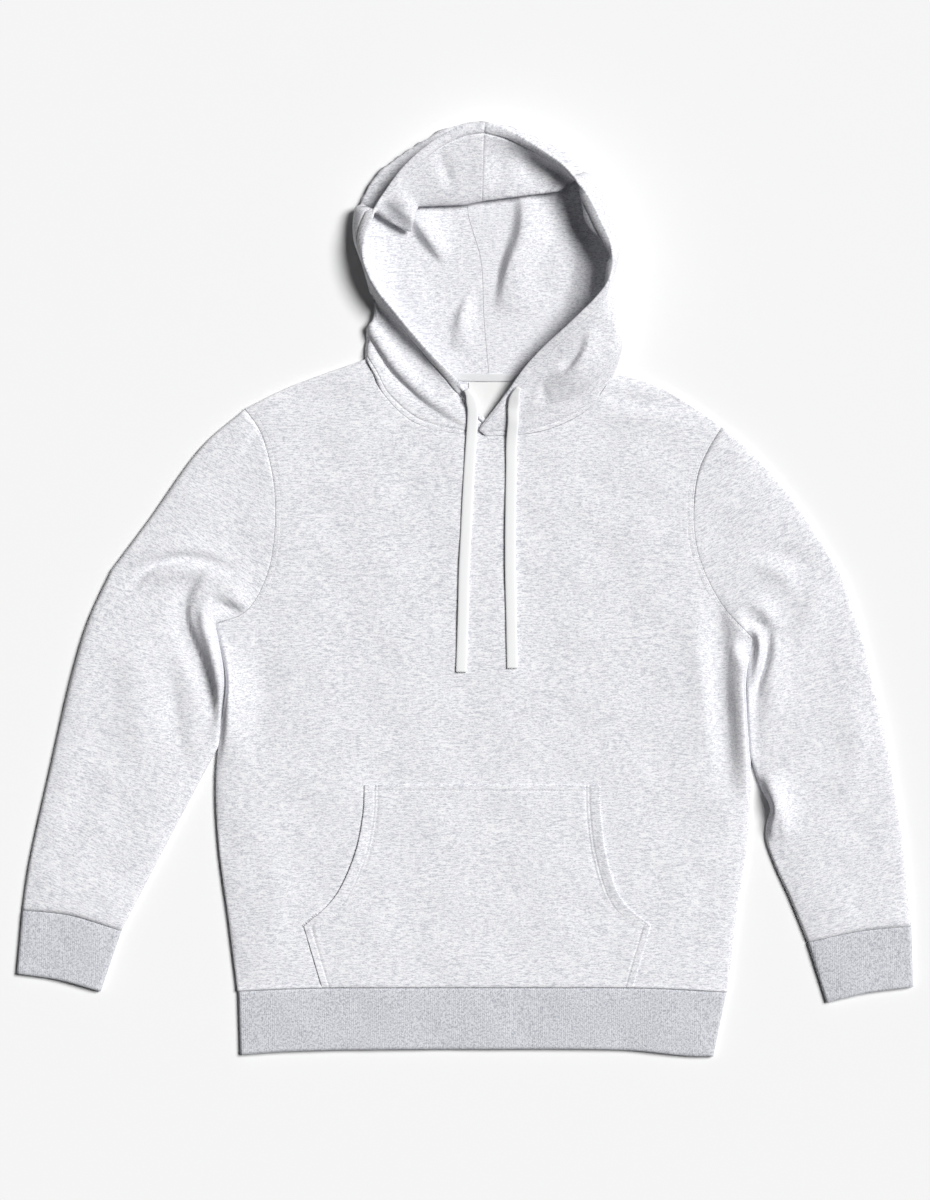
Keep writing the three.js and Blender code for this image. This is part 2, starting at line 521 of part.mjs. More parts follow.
// One side of the hood. sign is 1 for the left panel, whose sections run to the left of the seam.
// lifts raise the first sections, where one front end lies on the other.
function makeHoodPanel(table, neckPoints, backPoints, lifts, sign) {
  const besideSeam = (p) => new THREE.Vector3(p.x - (sign * SEAM_GAP) / 2, p.y, 0);
  const seam = along([backPoints.at(-1), ...HOOD_SEAM], STEPS.hoodSeam).map(besideSeam);
  const neckLine = chain(neckPoints, backPoints);
  const ends = [...neckLine.slice(0, -1), ...seam];
  const lastFront = neckPoints.length - 1;
  const turns = ends.map((_, k) => THREE.MathUtils.smoothstep(k, lastFront - 2, lastFront));
  const outwards = ends.map((p, k) => {
    const way = ends[Math.min(k + 1, ends.length - 1)].clone().sub(ends[Math.max(k - 1, 0)]).normalize();
    return new THREE.Vector3(-way.y, way.x, 0).multiplyScalar(sign);
  });
  const rim = new THREE.CatmullRomCurve3(table.map((r) => new THREE.Vector3(r.x, r.y, r.z)), false, "centripetal");
  const grid = ends.map((p, k) => {
    const place = (k / (ends.length - 1)) * (table.length - 1);
    const i = Math.min(Math.floor(place), table.length - 2);
    const mix = (name) => THREE.MathUtils.lerp(table[i][name], table[i + 1][name], place - i);
    const edge = rim.getPoint(place / (table.length - 1));
    const shape = Object.fromEntries(["foldZ", "sag", "lobe", "crest", "belly"].map((name) => [name, mix(name)]));
    shape.tuck = place > FLAP_ROW ? toFold(edge) : 0;
    const onFront = Math.max(bodyTop(p.x, p.y) - HOOD_CLOTH, FLEECE + SEAM_GAP) + (lifts[k] ?? 0);
    const low = k > lastFront ? HOOD.floor : onFront + HOOD_CLOTH * turns[k];
    const inset = -HOOD_CLOTH * Math.sin(Math.PI * turns[k]);
    const end = p.clone().addScaledVector(outwards[k], inset).setZ(low);
    const wraps = THREE.MathUtils.smoothstep(k, lastFront, lastFront + 3);
    const points = sectionPoints(hoodSection({ ...shape, x: edge.x, y: edge.y, z: edge.z }, end, wraps));
    if (k < ends.length - 1) return points;
    const x = (t) => THREE.MathUtils.lerp(edge.x - sign * SEAM_GAP, end.x - (sign * SEAM_GAP) / 2, t);
    return points.map((q, j) => q.setX(x(j / (points.length - 1))));
  });
  const normals = hoodNormals(grid, turns, outwards, sign);
  const outer = grid.map((points, k) =>
    points.map((p, j) => {
      const moved = p.clone().addScaledVector(normals[k][j], HOOD_CLOTH);
      return moved.setZ(Math.max(moved.z, 0));
    }),
  );
  return sign > 0 ? wallSolid(grid, outer) : wallSolid(outer, grid);
}

// A strip of tape along a line, with its underside at a height.
function makeTape(line, width, thick, low) {
  return slab([...shifted(line, -width / 2), ...shifted(line, width / 2).reverse()], thick, low);
}

function makeLabel() {
  const right = LABEL.left + LABEL.width;
  const bottom = LABEL.top - LABEL.drop;
  const corners = rows("x y", [[LABEL.left, bottom], [right, bottom], [right, LABEL.top], [LABEL.left, LABEL.top]]);
  return slab(corners, LABEL.thick, LABEL.low);
}

function makeCord(route) {
  const points = route.map((r) => new THREE.Vector3(r.x, r.y, r.z));
  const [x, y] = [CORD.thick / 2, CORD.width / 2];
  const round = x * CORD.round;
  const corners = [
    [-x, round - y], [round - x, -y], [x - round, -y], [x, round - y],
    [x, y - round], [x - round, y], [round - x, y], [-x, y - round],
  ];
  const section = new THREE.Shape(corners.map(([cx, cy]) => new THREE.Vector2(cx, cy)));
  const path = new THREE.CatmullRomCurve3(points, false, "centripetal");
  return new THREE.ExtrudeGeometry(section, { steps: CORD.steps, extrudePath: path, bevelEnabled: false });
}

const material = {
  fleece: new THREE.MeshStandardMaterial({ color: CLOTH_COLOUR, roughness: 0.95, metalness: 0 }),
  rib: new THREE.MeshStandardMaterial({ color: RIB_COLOUR, roughness: 0.95, metalness: 0 }),
  cord: new THREE.MeshStandardMaterial({ color: CORD_COLOUR, roughness: 0.85, metalness: 0 }),
  label: new THREE.MeshStandardMaterial({ color: LABEL_COLOUR, roughness: 0.6, metalness: 0 }),
};

const garment = new THREE.Group();
function add(name, geometry, cloth) {
  const mesh = new THREE.Mesh(geometry, cloth);
  mesh.name = name;
  garment.add(mesh);
}

const middle = STEPS.neck / 2;
const neckInside = shifted(neckFront, SEAM_GAP);
const neckBackInside = shifted(neckBack, SEAM_GAP);
const leftNeck = neckInside.slice(0, middle + 1).reverse();
const rightNeck = neckInside.slice(middle);
const leftBack = neckBackInside.slice(0, STEPS.neckBack / 2 + 1);
const rightBack = neckBackInside.slice(STEPS.neckBack / 2).reverse();

add("back_panel", makeBack(), material.fleece);
add("front_panel", makeFront(), material.fleece);
add("sleeve_left", makeSleeve(
  OUTLINE.sleeveOuterLeft, OUTLINE.sleeveInnerLeft, OUTLINE.sleevePastLeft, OUTLINE.cuffSeamLeft,
  side.left, armhole.left, 1,
), material.fleece);
add("sleeve_right", makeSleeve(
  OUTLINE.sleeveOuterRight, OUTLINE.sleeveInnerRight, OUTLINE.sleevePastRight, OUTLINE.cuffSeamRight,
  side.right, armhole.right, -1,
), material.fleece);
add("cuff_left", makeRib(along(OUTLINE.cuffSeamLeft, SLEEVE_STEPS.across), OUTLINE.cuffEndLeft, SLEEVE_STEPS.across), material.rib);
add("cuff_right", makeRib(along(OUTLINE.cuffSeamRight, SLEEVE_STEPS.across).reverse(), OUTLINE.cuffEndRight.toReversed(), SLEEVE_STEPS.across), material.rib);
add("waistband", makeRib(hemSeam, OUTLINE.hemEnd, ACROSS_BODY), material.rib);
add("pocket", makePocket(), material.fleece);
add("hood_left", makeHoodPanel(HOOD_LEFT, leftNeck, leftBack, HOOD.frontLifts.left, 1), material.fleece);
add("hood_right", makeHoodPanel(HOOD_RIGHT, rightNeck, rightBack, HOOD.frontLifts.right, -1), material.fleece);
add("neck_tape", makeTape(neckBack.slice(TAPE.from, TAPE.to + 1), TAPE.width, TAPE.thick, TAPE.low), material.fleece);
add("label", makeLabel(), material.label);
add("drawstring_left", makeCord(CORD_ROUTES.left), material.cord);
add("drawstring_right", makeCord(CORD_ROUTES.right), material.cord);

// The origin is under the middle of the whole, on the surface.
const box = new THREE.Box3().setFromObject(garment);
const centre = box.getCenter(new THREE.Vector3());
garment.position.set(-centre.x, -centre.y, -box.min.z);

export default garment;
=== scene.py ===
"""A pullover hoodie in heather grey fleece, size L, laid out flat on its back with the hood open.

The garment's tables are in millimetres, in the plan that the pieces were cut and laid out in. Placement
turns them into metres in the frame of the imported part. Each piece of cloth is a closed thin shell on its
solid's form.
"""
import logging
import math
from dataclasses import dataclass, field
from enum import Enum

import bmesh
import bpy
import numpy as np
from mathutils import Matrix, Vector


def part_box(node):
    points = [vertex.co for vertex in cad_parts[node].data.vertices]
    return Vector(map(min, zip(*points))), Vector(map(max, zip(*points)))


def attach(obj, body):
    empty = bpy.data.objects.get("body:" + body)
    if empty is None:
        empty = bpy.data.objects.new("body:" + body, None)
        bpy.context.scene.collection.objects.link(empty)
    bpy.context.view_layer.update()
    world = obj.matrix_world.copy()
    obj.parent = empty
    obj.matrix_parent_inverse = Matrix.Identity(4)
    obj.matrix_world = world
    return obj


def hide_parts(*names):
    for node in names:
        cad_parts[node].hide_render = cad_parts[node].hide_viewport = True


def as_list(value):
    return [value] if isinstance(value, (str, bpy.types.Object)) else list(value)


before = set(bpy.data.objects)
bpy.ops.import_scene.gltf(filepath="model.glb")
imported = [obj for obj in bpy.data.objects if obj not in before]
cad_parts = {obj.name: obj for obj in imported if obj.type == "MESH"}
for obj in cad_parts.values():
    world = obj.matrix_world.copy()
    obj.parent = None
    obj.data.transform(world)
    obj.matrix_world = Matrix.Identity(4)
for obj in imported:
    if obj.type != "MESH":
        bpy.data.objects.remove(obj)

LOG = logging.getLogger("hoodie")
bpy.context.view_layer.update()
MM = 0.001
ROOT = "root"

# Cloth and seams, in millimetres.
FLEECE = 2.6
RIB = 3.0
HOOD_CLOTH = 3.0
SEAM_GAP = 0.3
FINE = 6  # the scene's steps along a seam for each one of the solids'


class Slot(Enum):
    """The record's material slots."""

    FLEECE = "fleece"
    RIB = "rib"
    CORD = "cord"
    TAPE = "tape"
    LABEL = "label"


class Hand(Enum):
    """Which side of the garment a piece is on, as it is looked down on."""

    LEFT = 1
    RIGHT = -1

    @property
    def word(self) -> str:
        """The side's name in node names."""
        return self.name.lower()


def pts(*pairs: tuple[float, ...]) -> np.ndarray:
    """Rows of numbers as an array of points."""
    return np.array(pairs, float)


# Outlines of the laid-out pieces, seen from above. Each runs upwards or from left to right.
OUTLINE = {
    "side_left": pts((-240, -424), (-249, -352), (-260, -269), (-263, -200), (-257, -130), (-254, -92),
                     (-264, -35)),
    "side_right": pts((277, -425), (287, -343), (298, -269), (302, -195), (299, -131), (298, -95),
                      (304, -50)),
    "armhole_left": pts((-264, -35), (-232, -22), (-210, 15), (-201, 65), (-203, 120), (-217, 170),
                        (-233, 193)),
    "armhole_right": pts((304, -50), (272, -14), (248, 36), (242, 80), (247, 126), (259, 153), (272, 174)),
    "shoulder_left": pts((-233, 193), (-186, 216), (-104, 246)),
    "shoulder_right": pts((157, 233), (215, 211), (272, 174)),
    "neck_front": pts((-104, 246), (-93, 218), (-56, 180), (-10, 167), (40, 165), (85, 170), (126, 190),
                      (148, 215), (157, 233)),
    "neck_back": pts((-104, 246), (-40, 230), (21, 226), (90, 228), (157, 233)),
    "hem_seam": pts((-240, -424), (-175, -421), (16, -420), (204, -421), (277, -425)),
    "hem_end": pts((-238, -491), (-179, -487), (16, -485), (170, -486), (234, -492), (263, -493)),
    "sleeve_outer_left": pts((-469, -338), (-462, -290), (-440, -190), (-416, -86), (-400, -33), (-375, 22),
                             (-336, 74), (-278, 154), (-233, 193)),
    "sleeve_inner_left": pts((-364, -360), (-326, -287), (-287, -213)),
    "sleeve_outer_right": pts((473, -355), (463, -255), (444, -142), (431, -89), (417, -33), (398, 20),
                              (344, 102), (296, 155), (272, 174)),
    "sleeve_inner_right": pts((363, -372), (344, -325), (329, -292), (319, -263), (319, -248), (323, -230),
                              (314, -210)),
    "cuff_seam_left": pts((-469, -338), (-419, -343), (-364, -360)),
    "cuff_seam_right": pts((473, -355), (419, -360), (363, -372)),
    "cuff_end_left": pts((-475, -405), (-429, -412), (-386, -424)),
    "cuff_end_right": pts((475, -419), (424, -426), (383, -436)),
    "pocket_left": pts((-151, -419), (-170, -355), (-138, -325), (-116, -279), (-107, -235), (-106, -206)),
    "pocket_right": pts((177, -419), (196, -354), (166, -328), (149, -280), (143, -235), (142, -206)),
}
SLEEVE_ELBOW = 5  # the row of each outer edge that lies across from the underarm
# The rows of each pocket outline's lower side and of its opening.
POCKET_PARTS = (slice(0, 2), slice(1, None))

# Steps along each seam of the solids.
STEPS = {"shoulder": 4, "neck": 14, "side": 12, "armhole": 9, "neck_back": 8, "hood_seam": 7, "rib": 3}
SLEEVE_ROWS = {"free": 9, "beside": 4, "cap": 6, "across": 8}


@dataclass(frozen=True)
class Level:
    """How high a doubled cloth lies: its outer edge is low, and it rises to a low crown over a width."""

    edge: float
    crown: float
    roll: float


BODY_LEVEL = Level(FLEECE * 2 + SEAM_GAP, 8.9, 38)
RIB_LEVEL = Level(RIB * 2 + SEAM_GAP, 7.7, 26)
FLAT_ROUND = 2.7  # height of the widest point of a flattened tube


@dataclass(frozen=True)
class Crease:
    """A soft fold along a line. A negative height is a trough.

    The line runs through a few points, the two widths are those of its left and right slopes, and the
    height is that at its middle. It dies away at both ends.
    """

    line: tuple[tuple[float, float], ...]
    widths: tuple[float, float]
    height: float
    shares: tuple[float, float] = (0.0, 1.0)  # on the hood, the part of each section that it lies on


# The creases of the upper cloth. Where a crease's two slopes differ, the steep one is the short one.
BODY_CREASES = [
    # The left sleeve: the groove that arches over the underarm, the deep valley, and the cloth beside it.
    Crease(((-354, 2), (-334, 26), (-312, 33), (-291, 35), (-270, 31), (-243, 22)), (3.4, 7), -4.6),
    Crease(((-350, -16), (-334, 4), (-322, 18)), (4, 5), -1.4),
    Crease(((-274, 24), (-288, 6), (-297, -26), (-290, -50), (-277, -80), (-266, -112), (-262, -150)),
           (5, 12), -6.5),
    Crease(((-268, 12), (-277, -28), (-268, -60), (-260, -94), (-258, -125), (-262, -162)), (9, 6), 12.0),
    Crease(((-352, 10), (-334, 34), (-312, 41), (-291, 43), (-268, 39), (-243, 30)), (14, 3.5), 3.0),
    Crease(((-350, -6), (-333, 17), (-312, 24), (-291, 26), (-270, 22), (-246, 14)), (3.2, 14), 5.0),
    Crease(((-288, -4), (-291, -28), (-282, -54), (-270, -84), (-262, -112), (-257, -150)), (10, 3), 5.0),
    Crease(((-266, 26), (-279, 10), (-288, -6), (-292, -28)), (8, 3.6), 4.0),
    Crease(((-264, -11), (-256, -8), (-247, -11), (-238, -17), (-228, -22)), (12, 2.4), 6.5),
    Crease(((-262, -17), (-254, -15), (-246, -18), (-237, -23)), (2.4, 7), -5.0),
    Crease(((-272, 8), (-254, 8), (-236, 0), (-220, -12)), (14, 10), 3.0),
    Crease(((-314, -60), (-309, -100), (-305, -147), (-288, -196)), (8, 10), -2.6),
    Crease(((-346, -40), (-350, -110), (-334, -190)), (20, 14), 2.2),
    Crease(((-234, 178), (-222, 166), (-236, 146)), (5, 4), -1.8),
    Crease(((-395, -322), (-378, -342)), (5, 5), -1.0),
    Crease(((-420, -150), (-405, -60), (-372, -10)), (14, 20), 2.0),
    Crease(((-440, -300), (-410, -250), (-395, -200)), (12, 12), -1.4),
    # The body beside the left underarm.
    Crease(((-260, -50), (-250, -90), (-249, -130), (-257, -185)), (16, 4), 6.0),
    Crease(((-222, -40), (-214, -110), (-226, -180)), (14, 10), -2.0),
    # The body's right edge, rolled up, with a wide trough beside it.
    Crease(((288, -6), (294, -50), (295, -118), (299, -226)), (6, 15), 12.0),
    Crease(((266, 6), (270, -50), (273, -120), (286, -220)), (9, 13), -8.0),
    Crease(((240, -20), (252, -90), (262, -170)), (16, 12), 2.6),
    # The right sleeve: the gather over the underarm, the dark hollow under it and the folds beside it.
    Crease(((286, -17), (314, -19), (321, -28), (326, -42)), (10, 5), 4.5),
    Crease(((303, 24), (333, 21), (350, -4)), (9, 9), 3.0),
    Crease(((300, 40), (336, 38), (372, 30)), (8, 8), -2.4),
    Crease(((304, -34), (311, -36), (319, -39), (328, -45)), (3, 2.4), -6.0),
    Crease(((296, -46), (297, -62), (300, -78)), (9, 7), -12.0),
    Crease(((288, -52), (289, -64), (297, -80)), (3, 6), 3.0),
    Crease(((302, -36), (311, -54), (309, -78), (303, -104)), (4, 3), 9.0),
    Crease(((321, -42), (322, -60), (320, -76), (313, -92), (306, -122)), (2.6, 3.4), -6.0),
    Crease(((330, -36), (332, -72), (322, -112), (316, -170)), (15, 8), 3.6),
    Crease(((350, -60), (364, -27), (384, 10)), (14, 14), 3.0),
    Crease(((324, -44), (325, -59), (318, -89), (313, -110)), (9, 2.6), 4.5),
    Crease(((316, -190), (328, -232), (325, -266)), (14, 5), 15.0),
    Crease(((332, -222), (330, -244), (334, -270)), (2.2, 2.2), -4.0),
    Crease(((408, -330), (424, -346)), (5, 5), -1.0),
    Crease(((400, -230), (415, -160), (405, -90)), (18, 12), 2.0),
    # The shoulders, beside the neck.
    Crease(((146, 206), (190, 199), (236, 204)), (7, 9), -3.0),
    Crease(((150, 190), (196, 184), (244, 190)), (10, 12), 1.6),
    Crease(((-190, 196), (-140, 206), (-104, 214)), (9, 9), -1.4),
    # Faint waves of the front.
    Crease(((-190, 60), (-120, 30), (-60, 60)), (20, 26), 0.9),
    Crease(((110, 110), (170, 60), (210, -10)), (24, 18), 1.1),
    Crease(((-210, -180), (-150, -210), (-100, -170)), (20, 16), 0.8),
    Crease(((200, -240), (230, -310), (215, -390)), (16, 22), 1.0),
    Crease(((-215, -250), (-200, -320), (-212, -400)), (18, 14), 0.9),
]


def catmull_rom(points: np.ndarray, samples: int) -> np.ndarray:
    """A centripetal Catmull-Rom curve through points.

    Args:
        points: the points, one a row.
        samples: the steps along each stretch between two points.

    Returns:
        The points of the curve, from the first point to the last.
    """
    first, last = 2 * points[0] - points[1], 2 * points[-1] - points[-2]
    p = np.vstack([first, points, last])
    knots = np.maximum(np.sum((p[1:] - p[:-1]) ** 2, axis=1) ** 0.25, 1e-4)
    t = (np.arange(samples) / samples)[:, None]
    made = []
    for i in range(len(points) - 1):
        a, b, c, d = p[i:i + 4]
        d0, d1, d2 = knots[i:i + 3]
        m1 = ((b - a) / d0 - (c - a) / (d0 + d1) + (c - b) / d1) * d1
        m2 = ((c - b) / d1 - (d - b) / (d1 + d2) + (d - c) / d2) * d1
        made.append(b + m1 * t + (-3 * b + 3 * c - 2 * m1 - m2) * t**2 + (2 * b - 2 * c + m1 + m2) * t**3)
    return np.vstack([*made, points[-1:]])


def lengths(line: np.ndarray) -> np.ndarray:
    """The length along a line up to each of its points."""
    return np.concatenate([[0], np.cumsum(np.linalg.norm(np.diff(line, axis=0), axis=1))])


def resampled(line: np.ndarray, steps: int) -> np.ndarray:
    """A line's points, the same distance apart, in a number of steps."""
    run = lengths(line)
    return at_share(line, np.linspace(0, 1, steps + 1), run / run[-1])


def at_share(line: np.ndarray, t: np.ndarray, places: np.ndarray | None = None) -> np.ndarray:
    """Points of a line at shares of it, counted by its points or by their own places."""
    places = np.linspace(0, 1, len(line)) if places is None else places
    return np.stack([np.interp(t, places, line[:, c]) for c in range(line.shape[1])], axis=-1)


def along(points: np.ndarray, steps: int) -> np.ndarray:
    """A smooth curve through points, in steps of the same length."""
    return resampled(catmull_rom(points, 24), steps)


def chain(*parts: np.ndarray) -> np.ndarray:
    """Lines joined end to end."""
    return np.vstack([parts[0], *[part[1:] for part in parts[1:]]])


def shifted(line: np.ndarray, distance: float, reach: int = 1) -> np.ndarray:
    """A flat line moved sideways, to its left for a positive distance."""
    return line + left_of(line, reach) * distance


def left_of(line: np.ndarray, reach: int = 1) -> np.ndarray:
    """The direction to the left of a flat line at each of its points.

    Args:
        line: the line's points.
        reach: how many points away the two neighbours are that give the line's direction.

    Returns:
        Flat directions of length 1.
    """
    i = np.arange(len(line))
    way = line[np.minimum(i + reach, len(line) - 1)] - line[np.maximum(i - reach, 0)]
    way = way[:, :2] / np.linalg.norm(way[:, :2], axis=1, keepdims=True)
    return np.stack([-way[:, 1], way[:, 0]], axis=1)


def smoothstep(x: np.ndarray | float, low: float, high: float) -> np.ndarray | float:
    """0 below low, 1 above high and smooth between."""
    t = np.clip((np.asarray(x, float) - low) / (high - low), 0, 1)
    return t * t * (3 - 2 * t)


def mix(a: np.ndarray | float, b: np.ndarray | float, t: np.ndarray | float) -> np.ndarray | float:
    """The value a share of the way from a to b."""
    return a + (b - a) * t


def seam(name: str, steps: int) -> np.ndarray:
    """An outline as a smooth line, with the scene's steps for a number of the solids' steps."""
    return along(OUTLINE[name], steps * FINE)


SIDE = {hand: seam(f"side_{hand.word}", STEPS["side"]) for hand in Hand}
ARMHOLE = {hand: seam(f"armhole_{hand.word}", STEPS["armhole"]) for hand in Hand}
SHOULDER = {hand: seam(f"shoulder_{hand.word}", STEPS["shoulder"]) for hand in Hand}
NECK_FRONT = seam("neck_front", STEPS["neck"])
NECK_BACK = seam("neck_back", STEPS["neck_back"])
ACROSS_BODY = 2 * STEPS["shoulder"] + STEPS["neck"]
HEM_SEAM = seam("hem_seam", ACROSS_BODY)


def nearest(x: np.ndarray, y: np.ndarray, line: np.ndarray) -> tuple[np.ndarray, np.ndarray]:
    """The distance to a flat line and the share of the line there.

    Args:
        x: places across.
        y: places up.
        line: the line's points.

    Returns:
        The distance of each place, positive to the line's left, and the share of the line's length.
    """
    a, d = line[:-1, :2], np.diff(line[:, :2], axis=0)
    size = np.sum(d**2, axis=1)
    px, py = x.reshape(-1, 1) - a[:, 0], y.reshape(-1, 1) - a[:, 1]
    t = np.clip((px * d[:, 0] + py * d[:, 1]) / size, 0, 1)
    off = np.hypot(px - t * d[:, 0], py - t * d[:, 1])
    best = np.argmin(off, axis=1)
    row = np.arange(len(best))
    side = np.sign(d[best, 0] * py[row, best] - d[best, 1] * px[row, best])
    run = lengths(line[:, :2])
    share = (run[best] + t[row, best] * np.sqrt(size[best])) / run[-1]
    return (off[row, best] * side).reshape(x.shape), share.reshape(x.shape)


# The edges where the cloth is not sewn to a neighbour, towards which it gets thinner.
FREE_EDGES = [
    *SIDE.values(), *SHOULDER.values(),
    *[along(OUTLINE[f"sleeve_outer_{hand.word}"], 40) for hand in Hand],
    *[along(np.vstack([OUTLINE[f"sleeve_inner_{hand.word}"],
                       SIDE[hand][-1 - SLEEVE_ROWS["beside"] * FINE]]), 60) for hand in Hand],
    *[np.vstack([OUTLINE[f"{band}_seam{side}"][end], OUTLINE[f"{band}_end{side}"][end]])
      for band, side in (("cuff", "_left"), ("cuff", "_right"), ("hem", "")) for end in (0, -1)],
]


def crease_height(crease: Crease, x: np.ndarray, y: np.ndarray) -> np.ndarray:
    """A crease's share of the height.

    Args:
        crease: the crease.
        x: places across.
        y: places up.

    Returns:
        The height at each place.
    """
    line = catmull_rom(pts(*crease.line), 6) if len(crease.line) > 2 else pts(*crease.line)
    off, share = nearest(x, y, line)
    width = np.where(off > 0, *crease.widths)
    return crease.height * np.sin(np.pi * share) * np.exp(-((off / width) ** 2))


# Waves of the cloth between its creases: wavelength, direction in degrees, height and phase.
WAVES = (
    (97, 12, 0.34, 0.3), (61, 71, 0.22, 1.9), (143, 118, 0.40, 4.1), (41, 37, 0.10, 2.6),
    (53, 152, 0.14, 5.2),
)


def waves(x: np.ndarray, y: np.ndarray) -> np.ndarray:
    """The slight unevenness of cloth that lies by its own weight.

    Args:
        x: places across.
        y: places up.

    Returns:
        The height at each place.
    """
    total = np.zeros_like(x)
    for length, turn, height, phase in WAVES:
        way = x * math.cos(math.radians(turn)) + y * math.sin(math.radians(turn))
        total += height * np.sin(2 * math.pi * way / length + phase)
    return total


def edge_distance(x: np.ndarray, y: np.ndarray) -> np.ndarray:
    """How far places of the plan are from the nearest outer edge."""
    return np.min([np.abs(nearest(x, y, edge)[0]) for edge in FREE_EDGES], axis=0)


CREASE_REACH = 4  # how far in from a free edge the creases have their full height


def top_height(x: np.ndarray, y: np.ndarray, level: Level = BODY_LEVEL) -> np.ndarray:
    """Height of the top face of the cloth.

    Args:
        x: places across.
        y: places up.
        level: the heights that the cloth lies at between its creases.

    Returns:
        The height at each place.
    """
    distance = edge_distance(x, y)
    t = np.minimum(distance / level.roll, 1)
    crown = level.edge + (level.crown - level.edge) * np.sqrt(1 - (1 - t) ** 2)
    folds = sum(crease_height(crease, x, y) for crease in BODY_CREASES)
    return np.maximum(crown + (folds + waves(x, y)) * np.minimum(1, distance / CREASE_REACH), level.edge)


def patch(left: np.ndarray, right: np.ndarray, bottom: np.ndarray, top: np.ndarray, u: np.ndarray,
          v: np.ndarray) -> np.ndarray:
    """Points of a four-sided patch of the plan between its edges.

    Args:
        left: the left edge, from bottom to top.
        right: the right edge, from bottom to top.
        bottom: the bottom edge, from left to right.
        top: the top edge, from left to right.
        u: shares of the way across.
        v: shares of the way up.

    Returns:
        The points, in the shape of u and v.
    """
    u1, v1 = u[..., None], v[..., None]
    across = mix(at_share(left, v), at_share(right, v), u1)
    up = mix(at_share(bottom, u), at_share(top, u), v1)
    corners = mix(mix(bottom[0], bottom[-1], u1), mix(top[0], top[-1], u1), v1)
    return across + up - corners


class Placement:
    """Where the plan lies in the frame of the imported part."""

    def __init__(self) -> None:
        """Finds the place from the back panel, whose corners are corners of the plan."""
        low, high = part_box("back_panel")
        corners = np.vstack([*SIDE.values(), *ARMHOLE.values(), NECK_BACK])
        middle = (corners.min(0) + corners.max(0)) / 2
        self.shift = np.array(
            [(low.x + high.x) / 2 / MM - middle[0], (low.y + high.y) / 2 / MM - middle[1], 0.0])

    def metres(self, points: np.ndarray) -> np.ndarray:
        """Points of the plan, in metres in the part's frame."""
        return (points + self.shift) * MM


PLACE = Placement()


def mesh_piece(name: str, points: np.ndarray, quads: np.ndarray, cloth: np.ndarray,
               material: bpy.types.Material) -> bpy.types.Object:
    """Makes a smooth mesh object from points in millimetres.

    Args:
        name: the piece's name.
        points: its points, in the plan.
        quads: its faces, as rows of point numbers.
        cloth: each point's place on the cloth, in millimetres, which the weave follows.
        material: its finish.

    Returns:
        The object, at the origin.
    """
    mesh = bpy.data.meshes.new(name)
    mesh.from_pydata(PLACE.metres(points).tolist(), [], quads.tolist())
    places = mesh.attributes.new("cloth", "FLOAT_VECTOR", "POINT").data
    places.foreach_set("vector", cloth.astype(np.float32).ravel())
    mesh.materials.append(material)
    mesh.shade_smooth()
    mesh.validate()
    made = bpy.data.objects.new(f"{name}_cloth", mesh)
    bpy.context.scene.collection.objects.link(made)
    return made


def grid_quads(rows: int, columns: int, start: int = 0, ring: bool = False) -> np.ndarray:
    """Faces of a grid of points, facing up where the columns run right and the rows run up.

    Args:
        rows: the grid's rows.
        columns: its columns.
        start: the number of its first point.
        ring: whether its last column joins its first.

    Returns:
        Rows of four point numbers.
    """
    numbers = np.arange(rows * columns).reshape(rows, columns) + start
    if ring:
        numbers = np.hstack([numbers, numbers[:, :1]])
    a, b, c, d = numbers[:-1, :-1], numbers[:-1, 1:], numbers[1:, 1:], numbers[1:, :-1]
    return np.stack([a, b, c, d], axis=-1).reshape(-1, 4)


# Turns of a rounded edge between its upper and its middle point, as shares of a right angle.
CAP = (0.35, 0.75)


def shell(name: str, upper: np.ndarray, lower: np.ndarray, cloth: np.ndarray, bulge: np.ndarray | float,
          material: bpy.types.Material) -> bpy.types.Object:
    """A layer of cloth with rounded edges, between an upper and a lower grid of points.

    Args:
        name: the piece's name.
        upper: the upper points, as rows and columns.
        lower: the lower points.
        cloth: each upper point's place on the cloth.
        bulge: how far the edge stands out at its middle, in the order of border().
        material: its finish.

    Returns:
        The object.
    """
    rows, columns = upper.shape[:2]
    size = rows * columns
    loop = border(rows, columns)
    top, low = upper.reshape(-1, 3)[loop], lower.reshape(-1, 3)[loop]
    inside = (upper.reshape(-1, 3) + lower.reshape(-1, 3))[neighbours(rows, columns)] / 2
    out = (top + low) / 2 - inside
    up = top - low
    out -= up * (np.sum(out * up, axis=1) / np.maximum(np.sum(up * up, axis=1), 1e-9))[:, None]
    out /= np.maximum(np.linalg.norm(out, axis=1, keepdims=True), 1e-9)
    reach = np.broadcast_to(bulge, len(loop))[:, None]
    rings = []
    for turn in (*CAP, *[2 - share for share in reversed(CAP)]):
        angle = turn * math.pi / 2
        rings.append((top + low) / 2 + up / 2 * math.cos(angle) + out * reach * math.sin(angle))
    points = np.vstack([upper.reshape(-1, 3), lower.reshape(-1, 3), *rings])
    places = np.vstack([cloth.reshape(-1, 3)] * 2 + [cloth.reshape(-1, 3)[loop]] * len(rings))
    turns = [2 * size + i * len(loop) + np.arange(len(loop)) for i in range(len(rings))]
    around = [loop, *turns, size + loop]
    quads = [grid_quads(rows, columns), grid_quads(rows, columns, size)[:, ::-1]]
    for first, second in zip(around, around[1:]):
        quads.append(np.stack([first, second, np.roll(second, -1), np.roll(first, -1)], axis=1))
    return mesh_piece(name, points, np.vstack(quads), places, material)


def border(rows: int, columns: int) -> np.ndarray:
    """Numbers of a grid's border points, once round, anticlockwise from the first."""
    n = np.arange(rows * columns).reshape(rows, columns)
    return np.concatenate([n[0, :-1], n[:-1, -1], n[-1, :0:-1], n[:0:-1, 0]])


